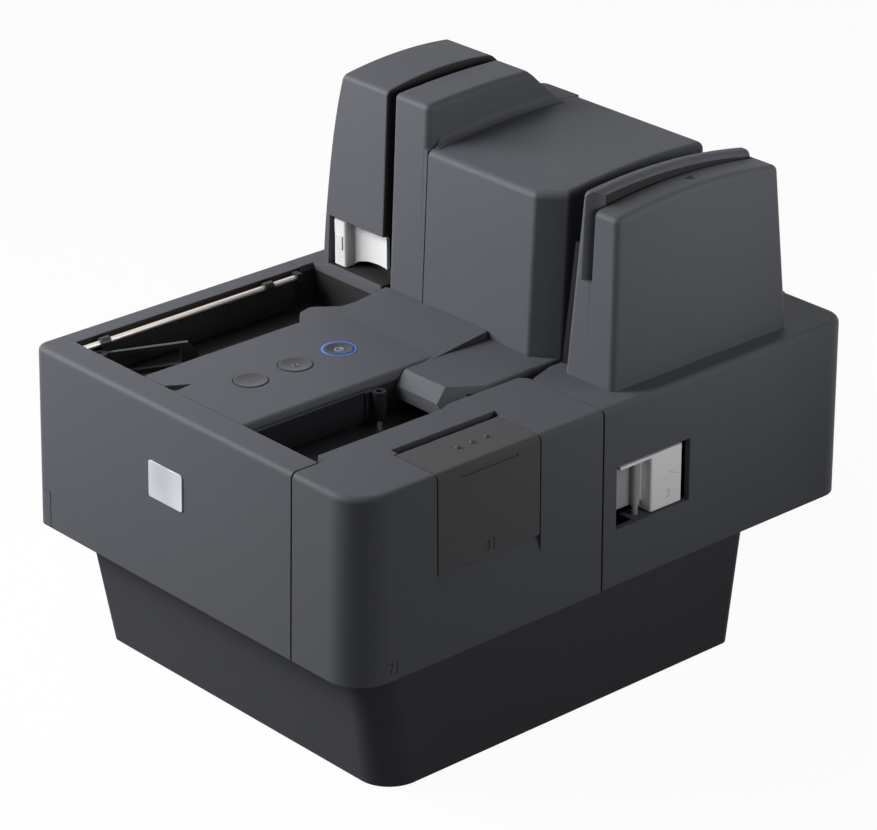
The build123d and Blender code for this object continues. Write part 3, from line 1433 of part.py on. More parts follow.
feeder_low_z = body_top_z - 12
feeder_drop = 6.0
with BuildPart() as feeder_cover:
    right_edge_x = track_right_x + 0.6
    front_edge_y = -46.7
    prism(
        (
            (panel_right_x + 0.4, front_edge_y),
            (right_edge_x - 7.2, front_edge_y),
            (right_edge_x, front_edge_y + 9.8),
            (right_edge_x, 17.8),
            (chamfer_start_x + 0.3, tower_front_y - 0.3),
            (panel_right_x + 0.4, tower_front_y - 0.3),
        ),
        feeder_low_z, body_top_z,
    )
    fillet(upright_edge(feeder_cover, right_edge_x - 7.2, front_edge_y), 2.5)
    side_prism(
        (
            (front_edge_y - 1, body_top_z - feeder_drop),
            (front_edge_y, body_top_z - feeder_drop),
            (front_edge_y + feeder_drop, body_top_z),
            (front_edge_y + feeder_drop, body_top_z + 1),
            (front_edge_y - 1, body_top_z + 1),
        ),
        panel_right_x, right_edge_x + 1, mode=Mode.SUBTRACT,
    )
    diagonal = Plane(
        origin=(right_edge_x, front_edge_y + 22.5, body_top_z),
        x_dir=(-12.8, -17.4, 0),
        z_dir=(17.4, -12.8, 16.5),
    )
    split(bisect_by=diagonal, keep=Keep.BOTTOM)
    top_right = feeder_cover.edges().filter_by(Axis.Y).group_by(Axis.X)[-1].group_by(Axis.Z)[-1]
    fillet(top_right, 2.5)
    box_between(
        panel_right_x + 2.4, right_edge_x - wall, front_edge_y + 12, tower_front_y - 3,
        feeder_low_z, flange_z, mode=Mode.SUBTRACT,
    )
    post(
        *feed_place, feed_roller_radius + 0.6, feeder_low_z - 1, feeder_low_z + 4.6,
        mode=Mode.SUBTRACT,
    )
    for y in (-28, 0):
        post(26, y, 3.0, deck_z, flange_z)
save(feeder_cover, "feeder_cover")

# ======================================================================
# Hopper and exit pocket
# ======================================================================
with BuildPart() as hopper_floor:
    box_between(21, hopper_right_x - 0.3, front_inner_y + 0.7, -75, deck_z, deck_z + 1.5)
save(hopper_floor, "hopper_floor")

plate_low_z = deck_z + 3.5
plate_high_z = body_top_z - 3
with BuildPart() as hopper_plate:
    with BuildSketch(Plane.YZ.offset(panel_right_x + 0.4)) as face:
        with Locations((-98.2, (plate_low_z + plate_high_z) / 2)):
            Rectangle(66.0, plate_high_z - plate_low_z)
        fillet(face.vertices().sort_by(Axis.Y)[:2], 4.0)
    extrude(face.sketch, amount=2.2)
    barrel_radius = 3.2
    post(*hopper_pin, barrel_radius, plate_low_z, plate_high_z)
    box_between(
        panel_right_x + 0.4, hopper_pin[0] - 2, hopper_pin[1] - 6, hopper_pin[1] - 1.5,
        plate_low_z, plate_high_z,
    )
    post(*hopper_pin, hinge_pin_radius + pin_clearance, deck_z, body_top_z, mode=Mode.SUBTRACT)
save(hopper_plate, "hopper_plate")

with BuildPart() as exit_guide_rod:
    rod_along_y(rod_x, rod_z, rod_radius, front_inner_y - 1.6, -4.5)
save(exit_guide_rod, "exit_guide_rod")

with BuildPart() as exit_guide_plate:
    box_between(rod_x - 0.6, rod_x + 0.6, -119, -6.3, deck_z + 2, rod_z - 1.8)
    for y in (-120.4, -25.0):
        rod_along_y(rod_x, rod_z, 2.5, y, y + 5.2)
        rod_along_y(
            rod_x, rod_z, rod_radius + pin_clearance, y - 1, y + 6.2, mode=Mode.SUBTRACT
        )
save(exit_guide_plate, "exit_guide_plate")

with BuildPart() as exit_arm:
    arm_low_z = deck_z + 2.5
    arm_high_z = body_top_z - 5
    arm_length = 41.0
    post(*arm_pin, 3.5, arm_low_z, arm_high_z)
    with BuildSketch(Plane.XZ.offset(-(arm_pin[1] - 1))) as side:
        with BuildLine():
            Polyline(
                (arm_pin[0] + 2, arm_low_z), (arm_pin[0] + arm_length - 1, arm_low_z),
                (arm_pin[0] + arm_length + 5, arm_high_z - 7),
                (arm_pin[0] + arm_length, arm_high_z), (arm_pin[0] + 2, arm_high_z), close=True,
            )
        make_face()
        with Locations((arm_pin[0] + arm_length / 2 + 3, (arm_low_z + arm_high_z) / 2)):
            RectangleRounded(arm_length - 13, 8, 2, mode=Mode.SUBTRACT)
    extrude(side.sketch, amount=-2.0)
    post(*arm_pin, hinge_pin_radius + pin_clearance, deck_z, body_top_z, mode=Mode.SUBTRACT)
exit_arm.part = exit_arm.part.rotate(Axis((arm_pin[0], arm_pin[1], 0), (0, 0, 1)), 67)
save(exit_arm, "exit_arm")

# ======================================================================
# Drive train and board
# ======================================================================
pulley_z = (deck_low_z - 10, deck_low_z - 4)
motor_shaft_radius = 1.5
tyre_z = (window_low_z + 0.5, window_high_z - 0.5)
shaft_low_z = deck_low_z - 11
shaft_high_z = window_high_z + 0.5
for index, (x, y) in enumerate(drive_places):
    with BuildPart() as drive_roller:
        post(x, y, shaft_radius, shaft_low_z, shaft_high_z)
        post(x, y, pulley_radius, *pulley_z)
        post(x, y, drive_roller_radius, *tyre_z)
        groove_z = (tyre_z[0] + tyre_z[1]) / 2
        post(x, y, drive_roller_radius + 1, groove_z - 1, groove_z + 1, mode=Mode.SUBTRACT)
        post(x, y, drive_roller_radius - 1.5, groove_z - 1, groove_z + 1)
    save(drive_roller, f"drive_roller_{index + 1}")

for index, (x, y) in enumerate(idler_places):
    with BuildPart() as idler_roller:
        post(x, y, idler_roller_radius, tyre_z[0] + 1, tyre_z[1] - 1)
        post(x, y, idler_axle_radius, tyre_z[0], body_top_z - 1.2)
        post(x, y, 2.5, tyre_z[0] + 0.5, tyre_z[1] - 0.5)
    save(idler_roller, f"idler_roller_{index + 1}")

belt_y = (front_pair_y, back_pair_y)
with BuildPart() as drive_belt:
    belt_inner = pulley_radius + 0.3
    outer = rounded_plan(
        pulley_z[0] + 0.5,
        (left_drive_x - belt_inner - 1.2, right_drive_x + belt_inner + 1.2),
        (belt_y[0] - belt_inner - 1.2, belt_y[1] + belt_inner + 1.2),
        [belt_inner + 1.2] * 4,
    )
    inner = rounded_plan(
        pulley_z[0] + 0.5,
        (left_drive_x - belt_inner, right_drive_x + belt_inner),
        (belt_y[0] - belt_inner, belt_y[1] + belt_inner),
        [belt_inner] * 4,
    )
    extrude(outer, amount=pulley_z[1] - pulley_z[0] - 1)
    extrude(inner, amount=pulley_z[1] - pulley_z[0] - 1, mode=Mode.SUBTRACT)
save(drive_belt, "drive_belt")

with BuildPart() as drive_motor:
    post(motor_x, motor_y, 17.5, motor_top_z - 35, motor_top_z)
    post(motor_x, motor_y, 4.8, motor_top_z, motor_top_z + 1.5)
    post(motor_x, motor_y, motor_shaft_radius, motor_top_z, pulley_z[1] + 0.6)
save(drive_motor, "drive_motor")

with BuildPart() as motor_pulley:
    post(motor_x, motor_y, pulley_radius, *pulley_z)
    post(
        motor_x, motor_y, motor_shaft_radius + pin_clearance, motor_plate_z, pulley_z[1] + 2,
        mode=Mode.SUBTRACT,
    )
save(motor_pulley, "motor_pulley")

with BuildPart() as feed_roller:
    post(*feed_place, shaft_radius, deck_low_z - 6, deck_z + 13)
    post(*feed_place, feed_roller_radius, deck_z + 3, feeder_low_z + 4)
save(feed_roller, "feed_roller")

with BuildPart() as retard_roller:
    post(*retard_place, retard_radius, deck_z + 3.5, window_high_z - 1)
    post(*retard_place, shaft_radius, deck_z + 2.5, body_top_z - 1.2)
save(retard_roller, "retard_roller")

with BuildPart() as pickup_roller:
    post(*pickup_place, pickup_radius, deck_z + 3.5, window_high_z - 1)
    post(*pickup_place, shaft_radius, deck_z + 2.5, body_top_z - 1.2)
save(pickup_roller, "pickup_roller")

with BuildPart() as main_board:
    board_top = board_z + board_thickness
    box_between(-90, -8, -106, -14, board_z, board_top)
    box_between(-70, -50, -80, -60, board_top, board_top + 2.4)
    box_between(-40, -28, -90, -78, board_top, board_top + 2.4)
    for y in (-40, -30, -20):
        post(-60, y, 4, board_top, board_top + 12.4)
save(main_board, "main_board")
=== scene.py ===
import math

import bpy
from mathutils import Matrix, Vector


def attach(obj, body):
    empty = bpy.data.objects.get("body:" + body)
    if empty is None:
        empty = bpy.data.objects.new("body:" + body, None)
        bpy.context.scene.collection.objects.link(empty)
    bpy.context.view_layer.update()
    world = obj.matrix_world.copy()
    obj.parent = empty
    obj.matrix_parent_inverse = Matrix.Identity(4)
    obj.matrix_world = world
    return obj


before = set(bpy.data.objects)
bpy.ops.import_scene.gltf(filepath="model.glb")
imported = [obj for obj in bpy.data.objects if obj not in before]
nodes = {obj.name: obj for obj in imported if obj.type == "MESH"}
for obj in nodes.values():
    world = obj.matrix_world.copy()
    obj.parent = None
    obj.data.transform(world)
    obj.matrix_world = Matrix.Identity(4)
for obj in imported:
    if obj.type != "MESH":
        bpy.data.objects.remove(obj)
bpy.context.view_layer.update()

# The view. A long lens stands in front of the machine's right front corner and
# looks down on it, so its upright lines stay almost parallel.
turn, tilt, roll = math.radians(48.4766), math.radians(24.7261), math.radians(-0.2291)
away = Vector((math.sin(turn) * math.cos(tilt), -math.cos(turn) * math.cos(tilt), math.sin(tilt)))
level = (-away).cross(Vector((0, 0, 1))).normalized()
above = level.cross(-away)
right = level * math.cos(roll) + above * math.sin(roll)
up = -level * math.sin(roll) + above * math.cos(roll)
bpy.ops.object.camera_add(location=(1.19243, -1.0585, 0.83703))
camera = bpy.context.object
camera.name = "camera"
facing = Matrix((right, up, away)).transposed().to_4x4()
camera.matrix_world = Matrix.Translation(camera.location) @ facing
camera.data.sensor_width = 36
camera.data.lens = 157.38
camera.data.clip_end = 20
bpy.context.scene.camera = camera
bpy.context.scene.view_settings.view_transform = "Standard"

# The studio. A pale sweep of card carries the machine. A large and a small soft
# box stand at its left front, and two weak ones light its right side. The card
# and the air show as white behind the machine.


class Wire:
    """A shader socket that can stand in a sum."""

    def __init__(self, tree, socket):
        self.tree, self.socket = tree, socket

    def math(self, operation, first, second):
        step = self.tree.nodes.new("ShaderNodeMath")
        step.operation = operation
        plug(self.tree, step.inputs[0], first)
        plug(self.tree, step.inputs[1], second)
        return Wire(self.tree, step.outputs[0])

    def __add__(self, other):
        return self.math("ADD", self, other)

    def __radd__(self, other):
        return self.math("ADD", other, self)

    def __sub__(self, other):
        return self.math("SUBTRACT", self, other)

    def __rsub__(self, other):
        return self.math("SUBTRACT", other, self)

    def __mul__(self, other):
        return self.math("MULTIPLY", self, other)

    def __rmul__(self, other):
        return self.math("MULTIPLY", other, self)

    def __gt__(self, other):
        return self.math("GREATER_THAN", self, other)

    def __lt__(self, other):
        return self.math("LESS_THAN", self, other)

    def either(self, other):
        return self.math("MAXIMUM", self, other)


def plug(tree, socket, value):
    """Link a wire to a socket, or set the socket to a plain value."""
    if isinstance(value, Wire):
        tree.links.new(value.socket, socket)
    else:
        socket.default_value = value


class Finish:
    """A surface finish: one Principled shader and the nodes that vary it."""

    def __init__(self, name, **constants):
        self.material = bpy.data.materials.new(name)
        self.material.use_nodes = True
        self.tree = self.material.node_tree
        self.shader = self.tree.nodes["Principled BSDF"]
        for label, value in constants.items():
            self.shader.inputs[label.replace("_", " ")].default_value = value
        self.place = self.node("ShaderNodeTexCoord", {}, {}, "Object")

    def node(self, kind, settings, sockets, output=0):
        """Any node: its type, its settings, then the values or links of its sockets."""
        step = self.tree.nodes.new(kind)
        for label, value in settings.items():
            setattr(step, label, value)
        for label, value in sockets.items():
            plug(self.tree, step.inputs[label], value)
        return Wire(self.tree, step.outputs[output])

    def noise(self, scale, detail=2.0, roughness=0.5):
        return self.node(
            "ShaderNodeTexNoise", {},
            {"Vector": self.place, "Scale": scale, "Detail": detail, "Roughness": roughness}, "Fac",
        )

    def axis(self, letter):
        """The place along X, Y or Z."""
        return self.node("ShaderNodeSeparateXYZ", {}, {"Vector": self.place}, letter)

    def tint(self, amount, low, high):
        """Colour between two colours, by an amount from 0 to 1."""
        return self.node(
            "ShaderNodeMix", {"data_type": "RGBA"}, {"Factor": amount, "A": low, "B": high}, "Result"
        )

    def feed(self, label, value):
        plug(self.tree, self.shader.inputs[label], value)

    def relief(self, height, strength, depth, edge=0.0):
        """Bump from a height in 0..1, over edges that are softened by a small radius."""
        sockets = {"Height": height, "Strength": strength, "Distance": depth}
        if edge:
            sockets["Normal"] = self.node("ShaderNodeBevel", {"samples": 3}, {"Radius": edge})
        self.feed("Normal", self.node("ShaderNodeBump", {}, sockets))


def grey(level, warmth=0.0):
    """A neutral colour, cooler or warmer by a small share."""
    return (level * (1 + warmth), level * (1 + warmth / 4), level * (1 - warmth), 1)


def seen_as_backdrop(tree):
    """1 for a ray that should show the white surroundings."""
    path = tree.nodes.new("ShaderNodeLightPath")
    rays = [Wire(tree, path.outputs[label]) for label in (
        "Is Camera Ray", "Is Glossy Ray", "Is Transmission Ray",
    )]
    return rays[0].either(rays[1]).either(rays[2])


sweep_white = 0.96
card = Finish("sweep_card", Roughness=0.9, Specular_IOR_Level=0.1)
fibre = card.tint(card.noise(40.0), grey(0.92), grey(0.96))
card.feed("Base Color", card.tint(seen_as_backdrop(card.tree), grey(0.20), fibre))
glow = card.node("ShaderNodeEmission", {}, {"Color": grey(1.0), "Strength": 1.0})
card_mix = card.node("ShaderNodeMixShader", {}, {})
plug(card.tree, card_mix.socket.node.inputs[0], seen_as_backdrop(card.tree) * sweep_white)
card.tree.links.new(card.shader.outputs[0], card_mix.socket.node.inputs[1])
card.tree.links.new(glow.socket, card_mix.socket.node.inputs[2])
card.tree.links.new(card_mix.socket, card.tree.nodes["Material Output"].inputs["Surface"])
bpy.ops.object.select_all(action="DESELECT")
bpy.ops.mesh.primitive_plane_add(size=9, location=(0, 0, 0))
sweep = bpy.context.object
sweep.name = "sweep"
sweep.data.materials.append(card.material)


def soft_box(name, place, target, size, power, spread=180):
    """A square area lamp that faces a point; a grid on it can narrow its spread."""
    bpy.ops.object.light_add(type="AREA", location=place)
    lamp = bpy.context.object
    lamp.name = name
    lamp.data.size = size
    lamp.data.energy = power
    lamp.data.spread = math.radians(spread)
    lamp.rotation_euler = (Vector(target) - Vector(place)).to_track_quat("-Z", "Y").to_euler()


soft_box("left_front_box", (-0.42, -0.55, 0.62), (0, 0, 0.18), 0.35, 6.9)
soft_box("left_fill", (-0.85, -0.55, 0.50), (-0.05, 0, 0.36), 0.40, 1.35, 60)
soft_box("right_box", (1.1, -0.1, 0.35), (0, 0, 0.14), 0.5, 1.3)
soft_box("tower_fill", (0.36, 0.16, 0.30), (0.1, 0.07, 0.25), 0.15, 0.13, 80)

world = bpy.data.worlds.new("studio_air")
bpy.context.scene.world = world
world.use_nodes = True
air = world.node_tree
air_light = 0.06
plug(air, air.nodes["Background"].inputs["Strength"], seen_as_backdrop(air) * (1 - air_light) + air_light)
air.nodes["Background"].inputs["Color"].default_value = grey(1.0)

# The shells. Each cover is injection moulded in charcoal ABS with a fine spark
# eroded texture, and clips or screws to the frame inside. Faces that look into
# a pocket, the track, the card slot or a lever's window get painted shade: they
# are painted near black for the shade that falls in these narrow places.


def moulded(name, dark, light, roughness, specular=0.1, grain=0.35, edge=0.0003, shade_test=None):
    """Textured plastic, with painted shade in near black where a test on x, y and z finds a face in a
    pocket, gap or recess.
    """
    finish = Finish(name, Specular_IOR_Level=specular)
    grit = finish.noise(2300.0, 2.0, 0.65)
    pits = finish.noise(900.0, 1.0, 0.4)
    cloud = finish.noise(13.0, 3.0, 0.5)
    tone = finish.tint(grit * 0.5 + pits * 0.3 + cloud * 0.2, dark, light)
    if shade_test:
        shade_mask = shade_test(finish.axis("X"), finish.axis("Y"), finish.axis("Z"))
        # Painted shade: faces that the test finds are painted near black.
        tone = finish.tint(shade_mask, tone, grey(0.026))
    finish.feed("Base Color", tone)
    finish.feed("Roughness", cloud * 0.08 + grit * 0.10 + (roughness - 0.09))
    finish.relief(grit * 0.7 + pits * 0.3, grain, 0.00012, edge)
    return finish


def dress(finish, *names):
    """Give CAD nodes their finish."""
    for name in names:
        for slot in nodes[name].material_slots:
            slot.material = finish.material


shell_low, shell_high = (0.068, 0.0705, 0.080, 1), (0.108, 0.112, 0.127, 1)
shell = moulded("shell_charcoal", shell_low, shell_high, 0.52)
dress(
    shell, "front_panel", "right_front_cover", "rear_cover", "centre_tower_shell",
    "inner_tower_cover", "feeder_cover",
)
body_top, track_top, flange_low = 0.1450, 0.1452, 0.1419
left_track_x, right_track_x, right_side_lean = -0.0524, 0.0708, 0.066
pocket_left_x, pocket_back_y = -0.1036, 0.0200
window_left_x, window_back_y, window_low, window_high = -0.0892, 0.0215, 0.1477, 0.1723
front_lean, window_front_y = 0.05, 0.0016
slot_left_x, slot_right_x, slot_front_y, slot_floor = 0.08335, 0.08485, 0.0200, 0.1905
housing_inner_x, housing_lip = -0.1012, 0.1446
hopper_side_x, panel_lip = 0.0200, 0.1412


def left_cover_painted_shade(x, y, z):
    """Painted shade on the side along the track, the pocket's back end and the lever's window."""
    track_side = (x > left_track_x) * (z > track_top)
    pocket_end = (x > pocket_left_x) * (y < pocket_back_y) * (z < flange_low)
    behind_front = (y - z * front_lean > window_front_y) * (y < window_back_y)
    window = (x > window_left_x) * behind_front * (z > window_low) * (z < window_high)
    return track_side.either(pocket_end).either(window)


def right_cover_painted_shade(x, y, z):
    """Painted shade on the leaning side along the track and in the card slot."""
    track_side = (x - (z - body_top) * right_side_lean < right_track_x) * (z > track_top)
    slot = (x > slot_left_x) * (x < slot_right_x) * (y > slot_front_y) * (z > slot_floor)
    return track_side.either(slot)


# Painted shade inside the housing's pocket, below its lip.
def left_housing_painted_shade(x, y, z):
    return (x > housing_inner_x) * (z < housing_lip)


# Painted shade on the panel's faces toward the hopper, below its lip.
def control_panel_painted_shade(x, y, z):
    return (x > hopper_side_x) * (z < panel_lip)


for name, shade_test in {
    "left_transport_cover": left_cover_painted_shade,
    "right_transport_cover": right_cover_painted_shade,
    "left_housing": left_housing_painted_shade,
    "control_panel": control_panel_painted_shade,
}.items():
    dress(moulded("shell_" + name, shell_low, shell_high, 0.52, shade_test=shade_test), name)

# The endorser door. It is a separate moulding in a slightly warmer grey, and
# swings down on two short pins.
door_low, door_high = (0.062, 0.062, 0.065, 1), (0.098, 0.098, 0.102, 1)
dress(moulded("door_grey", door_low, door_high, 0.50), "imprinter_door")

# The base. A deeper box in black ABS carries the machine on four rubber feet
# and is closed below by a screwed plate.
base_low, base_high = (0.042, 0.0432, 0.049, 1), (0.068, 0.070, 0.079, 1)
dress(moulded("base_shell", base_low, base_high, 0.5, specular=0.04), "base_housing")
dress(moulded("base_plate", grey(0.030), grey(0.042), 0.6, grain=0.2), "bottom_plate")
dress(moulded("foot_rubber", grey(0.012), grey(0.022), 0.85, specular=0.15, grain=0.5), "rubber_feet")

# Black parts inside. Deck, guides, frame and sensor bars are a smooth black ABS
# that comes off a polished mould; the flaps that paper slides along are glossier.
inner = moulded("inner_black", grey(0.036), grey(0.050), 0.36, specular=0.4, grain=0.08, edge=0.0002)
dress(
    inner, "main_frame", "track_deck", "inner_image_sensor", "left_image_sensor", "connector_panel",
    "ink_cartridge",
)
guide = moulded("guide_black", grey(0.008), grey(0.013), 0.42, specular=0.2, grain=0.06, edge=0.0002)
dress(guide, "rear_track_guide", "right_track_guide", "left_track_guide", "rear_sockets")
flap = moulded("flap_smoke", grey(0.022), grey(0.032), 0.26, specular=0.35, grain=0.03, edge=0.0002)
dress(flap, "exit_guide_plate", "exit_arm")
hopper_low, hopper_high = (0.013, 0.014, 0.017, 1), (0.020, 0.021, 0.026, 1)
dress(
    moulded("hopper_black", hopper_low, hopper_high, 0.5, specular=0.15, grain=0.12, edge=0.0),
    "hopper_floor", "hopper_plate",
)

# Steel. Pins, rods, screws and the read heads are turned or ground bright, and
# show the fine lines of that along their length.


def ground(name, colour, roughness, along, metallic=1.0):
    """Bright metal with fine drawn lines along one axis."""
    finish = Finish(name, Metallic=metallic)
    stretch = [900.0, 900.0, 900.0]
    stretch["XYZ".index(along)] = 25.0
    drawn = finish.node("ShaderNodeMapping", {}, {"Vector": finish.place, "Scale": stretch})
    lines = finish.node("ShaderNodeTexNoise", {}, {"Vector": drawn, "Scale": 1.0, "Detail": 3.0}, "Fac")
    finish.feed("Base Color", finish.tint(lines, [c * 0.86 for c in colour] + [1], list(colour) + [1]))
    finish.feed("Roughness", lines * 0.12 + roughness)
    finish.relief(lines, 0.15, 0.00005)
    return finish


dress(ground("rod_steel", (0.80, 0.73, 0.68), 0.34, "Y"), "exit_guide_rod")
dress(ground("pin_steel", (0.56, 0.57, 0.58), 0.28, "Z"), "hinge_pins", "pivot_pins", "base_screws")
dress(ground("head_steel", (0.52, 0.52, 0.53), 0.24, "Z"), "magnetic_ink_head", "magnetic_stripe_head")
dress(ground("motor_steel", (0.44, 0.45, 0.46), 0.38, "Z"), "drive_motor")
dress(ground("bearing_brass", (0.72, 0.52, 0.24), 0.32, "Z"), "roller_bearings")

# Sensor windows. Each is a strip of hard coated glass over its lamp bar.
glass = Finish("sensor_glass", Roughness=0.05, Specular_IOR_Level=0.6)
glass_low, glass_high = (0.014, 0.020, 0.018, 1), (0.020, 0.028, 0.026, 1)
glass.feed("Base Color", glass.tint(glass.noise(60.0), glass_low, glass_high))
dress(glass, "inner_sensor_glass", "left_sensor_glass")

# The drive. Rubber tyres on the shafts grip the paper, a toothed belt joins
# their white acetal pulleys, and two green boards run it all.
tyre = moulded("roller_rubber", grey(0.020), grey(0.034), 0.72, specular=0.2, grain=0.5)
dress(
    tyre, "feed_roller", "retard_roller", "pickup_roller", "drive_belt",
    *("drive_roller_%d" % number for number in range(1, 5)),
    *("idler_roller_%d" % number for number in range(1, 5)),
)
dress(moulded("pulley_white", grey(0.62), grey(0.70), 0.4), "motor_pulley")
board = Finish("board_green", Specular_IOR_Level=0.5)
tracks = board.noise(420.0, 1.0, 0.3)
copper = tracks > 0.53
board.feed("Base Color", board.tint(copper, (0.010, 0.075, 0.035, 1), (0.020, 0.130, 0.060, 1)))
board.feed("Roughness", tracks * 0.2 + 0.25)
board.relief(copper, 0.3, 0.00005)
dress(board, "main_board", "control_board")

# The badge. A blank plate of satin silver sits in a shallow pocket in the front.
silver = Finish("badge_silver", Metallic=0.85)
# Painted sheen: the silver's colour sweeps from dark to bright in soft slanted bands.
sheen = silver.node("ShaderNodeMapping", {}, {"Vector": silver.place, "Rotation": (0, 0.75, 0)})
painted_sheen_band = silver.node(
    "ShaderNodeTexNoise", {}, {"Vector": sheen, "Scale": 46.0, "Detail": 0.5}, "Fac"
)
flake = silver.noise(5200.0, 1.0)
silver.feed("Base Color", silver.tint(painted_sheen_band, (0.36, 0.37, 0.41, 1), (0.78, 0.79, 0.83, 1)))
silver.feed("Roughness", flake * 0.14 + 0.28)
silver.relief(flake, 0.2, 0.00004, 0.0003)
dress(silver, "front_badge")

# The release levers. They are moulded in white acetal, and each turns on a barrel
# round its pin. On the right lever, the part that lies deep in its window near the
# window's front wall is painted dark grey as painted shade. Arrow lines and a plain
# number are raised on the right lever, which shows them to the hand that swings it.


def settle(name, finish, body):
    """Name the piece in hand, bring its origin to the frame's and let it ride."""
    bpy.ops.object.mode_set(mode="OBJECT")
    bpy.ops.object.transform_apply(location=True, rotation=True, scale=True)
    piece = bpy.context.object
    piece.name = name
    piece.data.materials.clear()
    piece.data.materials.append(finish.material)
    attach(piece, body)


def raised_line(name, start, end, width, finish, body):
    """A ridge of square section, half sunk in the face it runs along."""
    bpy.ops.object.select_all(action="DESELECT")
    along = Vector(end) - Vector(start)
    bpy.ops.mesh.primitive_cube_add(
        size=1, location=(Vector(start) + Vector(end)) / 2, scale=(along.length, width, width),
        rotation=along.to_track_quat("X", "Z").to_euler(),
    )
    bpy.ops.object.transform_apply(location=False, rotation=False, scale=True)
    bpy.ops.object.mode_set(mode="EDIT")
    bpy.ops.mesh.select_all(action="SELECT")
    bpy.ops.mesh.bevel(offset=width * 0.2, segments=1, affect="EDGES")
    settle(name, finish, body)


# Painted shade: the left lever's white acetal is toned down to a light grey, for the shade that falls on
# it in its window.
left_shaded_low, left_shaded_high = (0.60, 0.605, 0.61, 1), (0.68, 0.685, 0.69, 1)
dress(moulded("lever_left_shaded", left_shaded_low, left_shaded_high, 0.34, specular=0.3, grain=0.06), "left_release_lever")
right_low, right_high = (0.86, 0.865, 0.87, 1), (0.92, 0.925, 0.93, 1)
right_white = moulded("lever_right", right_low, right_high, 0.36, specular=0.4, grain=0.06)
# Painted shade: dark grey where the lever lies deep in its window, near the window's front wall.
shade_right_x, shade_back_y = 0.1086, 0.0218
window_shade = (right_white.axis("X") < shade_right_x) * (right_white.axis("Y") < shade_back_y)
white_tone = Wire(right_white.tree, right_white.shader.inputs["Base Color"].links[0].from_socket)
right_white.feed("Base Color", right_white.tint(window_shade, white_tone, grey(0.30)))
dress(right_white, "right_release_lever")
raised_tone = moulded("lever_mark", grey(0.66), grey(0.72), 0.4, specular=0.3, grain=0.05)
lever_face = 0.1109
line_width = 0.0003
for name, start, end in (
    ("lever_arrow_upper", (lever_face, 0.0355, 0.1024), (lever_face, 0.0419, 0.0995)),
    ("lever_arrow_lower", (lever_face, 0.0291, 0.0990), (lever_face, 0.0364, 0.0999)),
):
    raised_line(name, start, end, line_width, raised_tone, "right_lever")
number_size, number_rise, number_sunk = 0.0055, 0.0003, 0.0001
bpy.ops.object.select_all(action="DESELECT")
bpy.ops.object.text_add(
    location=(lever_face - number_sunk, 0.0340, 0.0900), rotation=(math.pi / 2, 0, math.pi / 2)
)
bpy.context.object.data.body = "2"
bpy.context.object.data.size = number_size
bpy.ops.object.convert(target="MESH")
bpy.ops.object.mode_set(mode="EDIT")
bpy.ops.mesh.select_all(action="SELECT")
bpy.ops.mesh.extrude_region_move(TRANSFORM_OT_translate={"value": (number_rise, 0, 0)})
bpy.ops.mesh.select_all(action="SELECT")
bpy.ops.mesh.normals_make_consistent(inside=False)
settle("lever_number", raised_tone, "right_lever")

# The keys. Each is a dished cap in smooth dark grey, and a clear blue ring lit
# from below stands round the power key. A small sign for start, stop or power
# is moulded as a fine outline in the middle of each dish.
key_low, key_high = (0.058, 0.060, 0.068, 1), (0.074, 0.076, 0.086, 1)
key = moulded("button_dark", key_low, key_high, 0.30, grain=0.04)
dress(key, "start_button", "stop_button", "power_button")
ring = Finish("light_blue", Roughness=0.2)
ring_tone = ring.noise(260.0, 1.0)
ring.feed("Base Color", ring.tint(ring_tone, (0.03, 0.10, 0.34, 1), (0.06, 0.18, 0.52, 1)))
ring.feed("Emission Color", ring.tint(ring_tone, (0.02, 0.11, 0.50, 1), (0.05, 0.22, 0.80, 1)))
ring.shader.inputs["Emission Strength"].default_value = 0.34
dress(ring, "power_light_ring")
key_x = -0.0155
dish_z = 0.1446
sign_rise = 0.0003
sign_white = moulded("sign_white", grey(0.16), grey(0.22), 0.4, specular=0.3, grain=0.05)
sign_lit = Finish("sign_lit", Roughness=0.3)
sign_glow = sign_lit.noise(900.0, 1.0)
sign_lit.feed("Base Color", sign_lit.tint(sign_glow, grey(0.24), grey(0.34)))
sign_lit.feed("Emission Color", sign_lit.tint(sign_glow, (0.30, 0.48, 0.9, 1), (0.45, 0.62, 1.0, 1)))
sign_lit.shader.inputs["Emission Strength"].default_value = 0.2


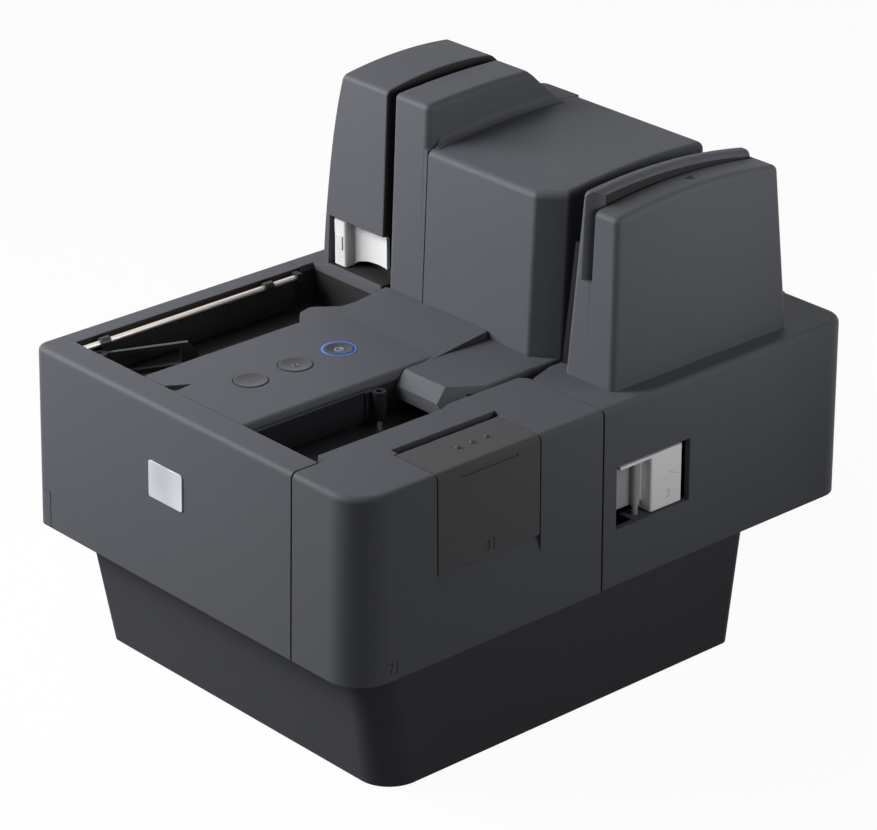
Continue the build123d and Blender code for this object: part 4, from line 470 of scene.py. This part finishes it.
def outline_sign(name, y, corners, radius, line, turned, finish, body):
    """A closed outline with a number of corners, raised from the dish."""
    bpy.ops.object.select_all(action="DESELECT")
    bpy.ops.mesh.primitive_circle_add(
        vertices=corners, radius=radius, fill_type="NGON", location=(key_x, y, dish_z),
        rotation=(0, 0, turned),
    )
    bpy.ops.object.mode_set(mode="EDIT")
    bpy.ops.mesh.select_all(action="SELECT")
    bpy.ops.mesh.inset(thickness=line)
    bpy.ops.mesh.delete(type="FACE")
    bpy.ops.mesh.select_all(action="SELECT")
    bpy.ops.mesh.extrude_region_move(TRANSFORM_OT_translate={"value": (0, 0, sign_rise)})
    bpy.ops.mesh.select_all(action="SELECT")
    bpy.ops.mesh.normals_make_consistent(inside=False)
    settle(name, finish, body)


start_y, stop_y, power_y = -0.0994, -0.0739, -0.0484
sign_radius, sign_line = 0.0018, 0.00032
outline_sign(
    "start_sign", start_y, 3, sign_radius, sign_line, math.radians(-90), sign_white, "start_key"
)
outline_sign("stop_sign", stop_y, 4, sign_radius, sign_line, math.radians(45), sign_white, "stop_key")
outline_sign("power_sign", power_y, 28, 0.0021, 0.0004, 0.0, sign_lit, "power_key")
bar_end = (key_x, power_y + 0.0025, dish_z + 0.0001)
raised_line("power_bar", (key_x, power_y, dish_z), bar_end, 0.0005, sign_lit, "power_key")

# Marks on the covers. Short ridges beside the hopper, moulded with its cover, show
# how items stand, and a dark arrow head is printed on the card tower's roof.
mark_pitch = 0.0008
for index in range(4):
    step = index * mark_pitch
    start = (0.0658 + step, -0.0577 - step, body_top)
    end = (0.0667 + step, -0.0586 - step * 0.6, body_top)
    raised_line("hopper_mark_%d" % (index + 1), start, end, line_width, shell, "chassis")
start, end = (0.0671, -0.0458, body_top), (0.0761, -0.0466, body_top)
raised_line("hopper_line", start, end, line_width, shell, "chassis")
print_black = moulded("print_black", grey(0.010), grey(0.016), 0.5, specular=0.1, grain=0.05)
bpy.ops.object.select_all(action="DESELECT")
arrow_place, arrow_radius, arrow_rise = (0.0902, 0.0654, 0.2279), 0.0027, 0.00018
bpy.ops.mesh.primitive_circle_add(
    vertices=3, radius=arrow_radius, fill_type="NGON", location=arrow_place,
    rotation=(0, 0, math.radians(160)),
)
bpy.ops.object.mode_set(mode="EDIT")
bpy.ops.mesh.select_all(action="SELECT")
bpy.ops.mesh.extrude_region_move(TRANSFORM_OT_translate={"value": (0, 0, arrow_rise)})
bpy.ops.mesh.select_all(action="SELECT")
bpy.ops.mesh.normals_make_consistent(inside=False)
settle("card_arrow", print_black, "right_cover")
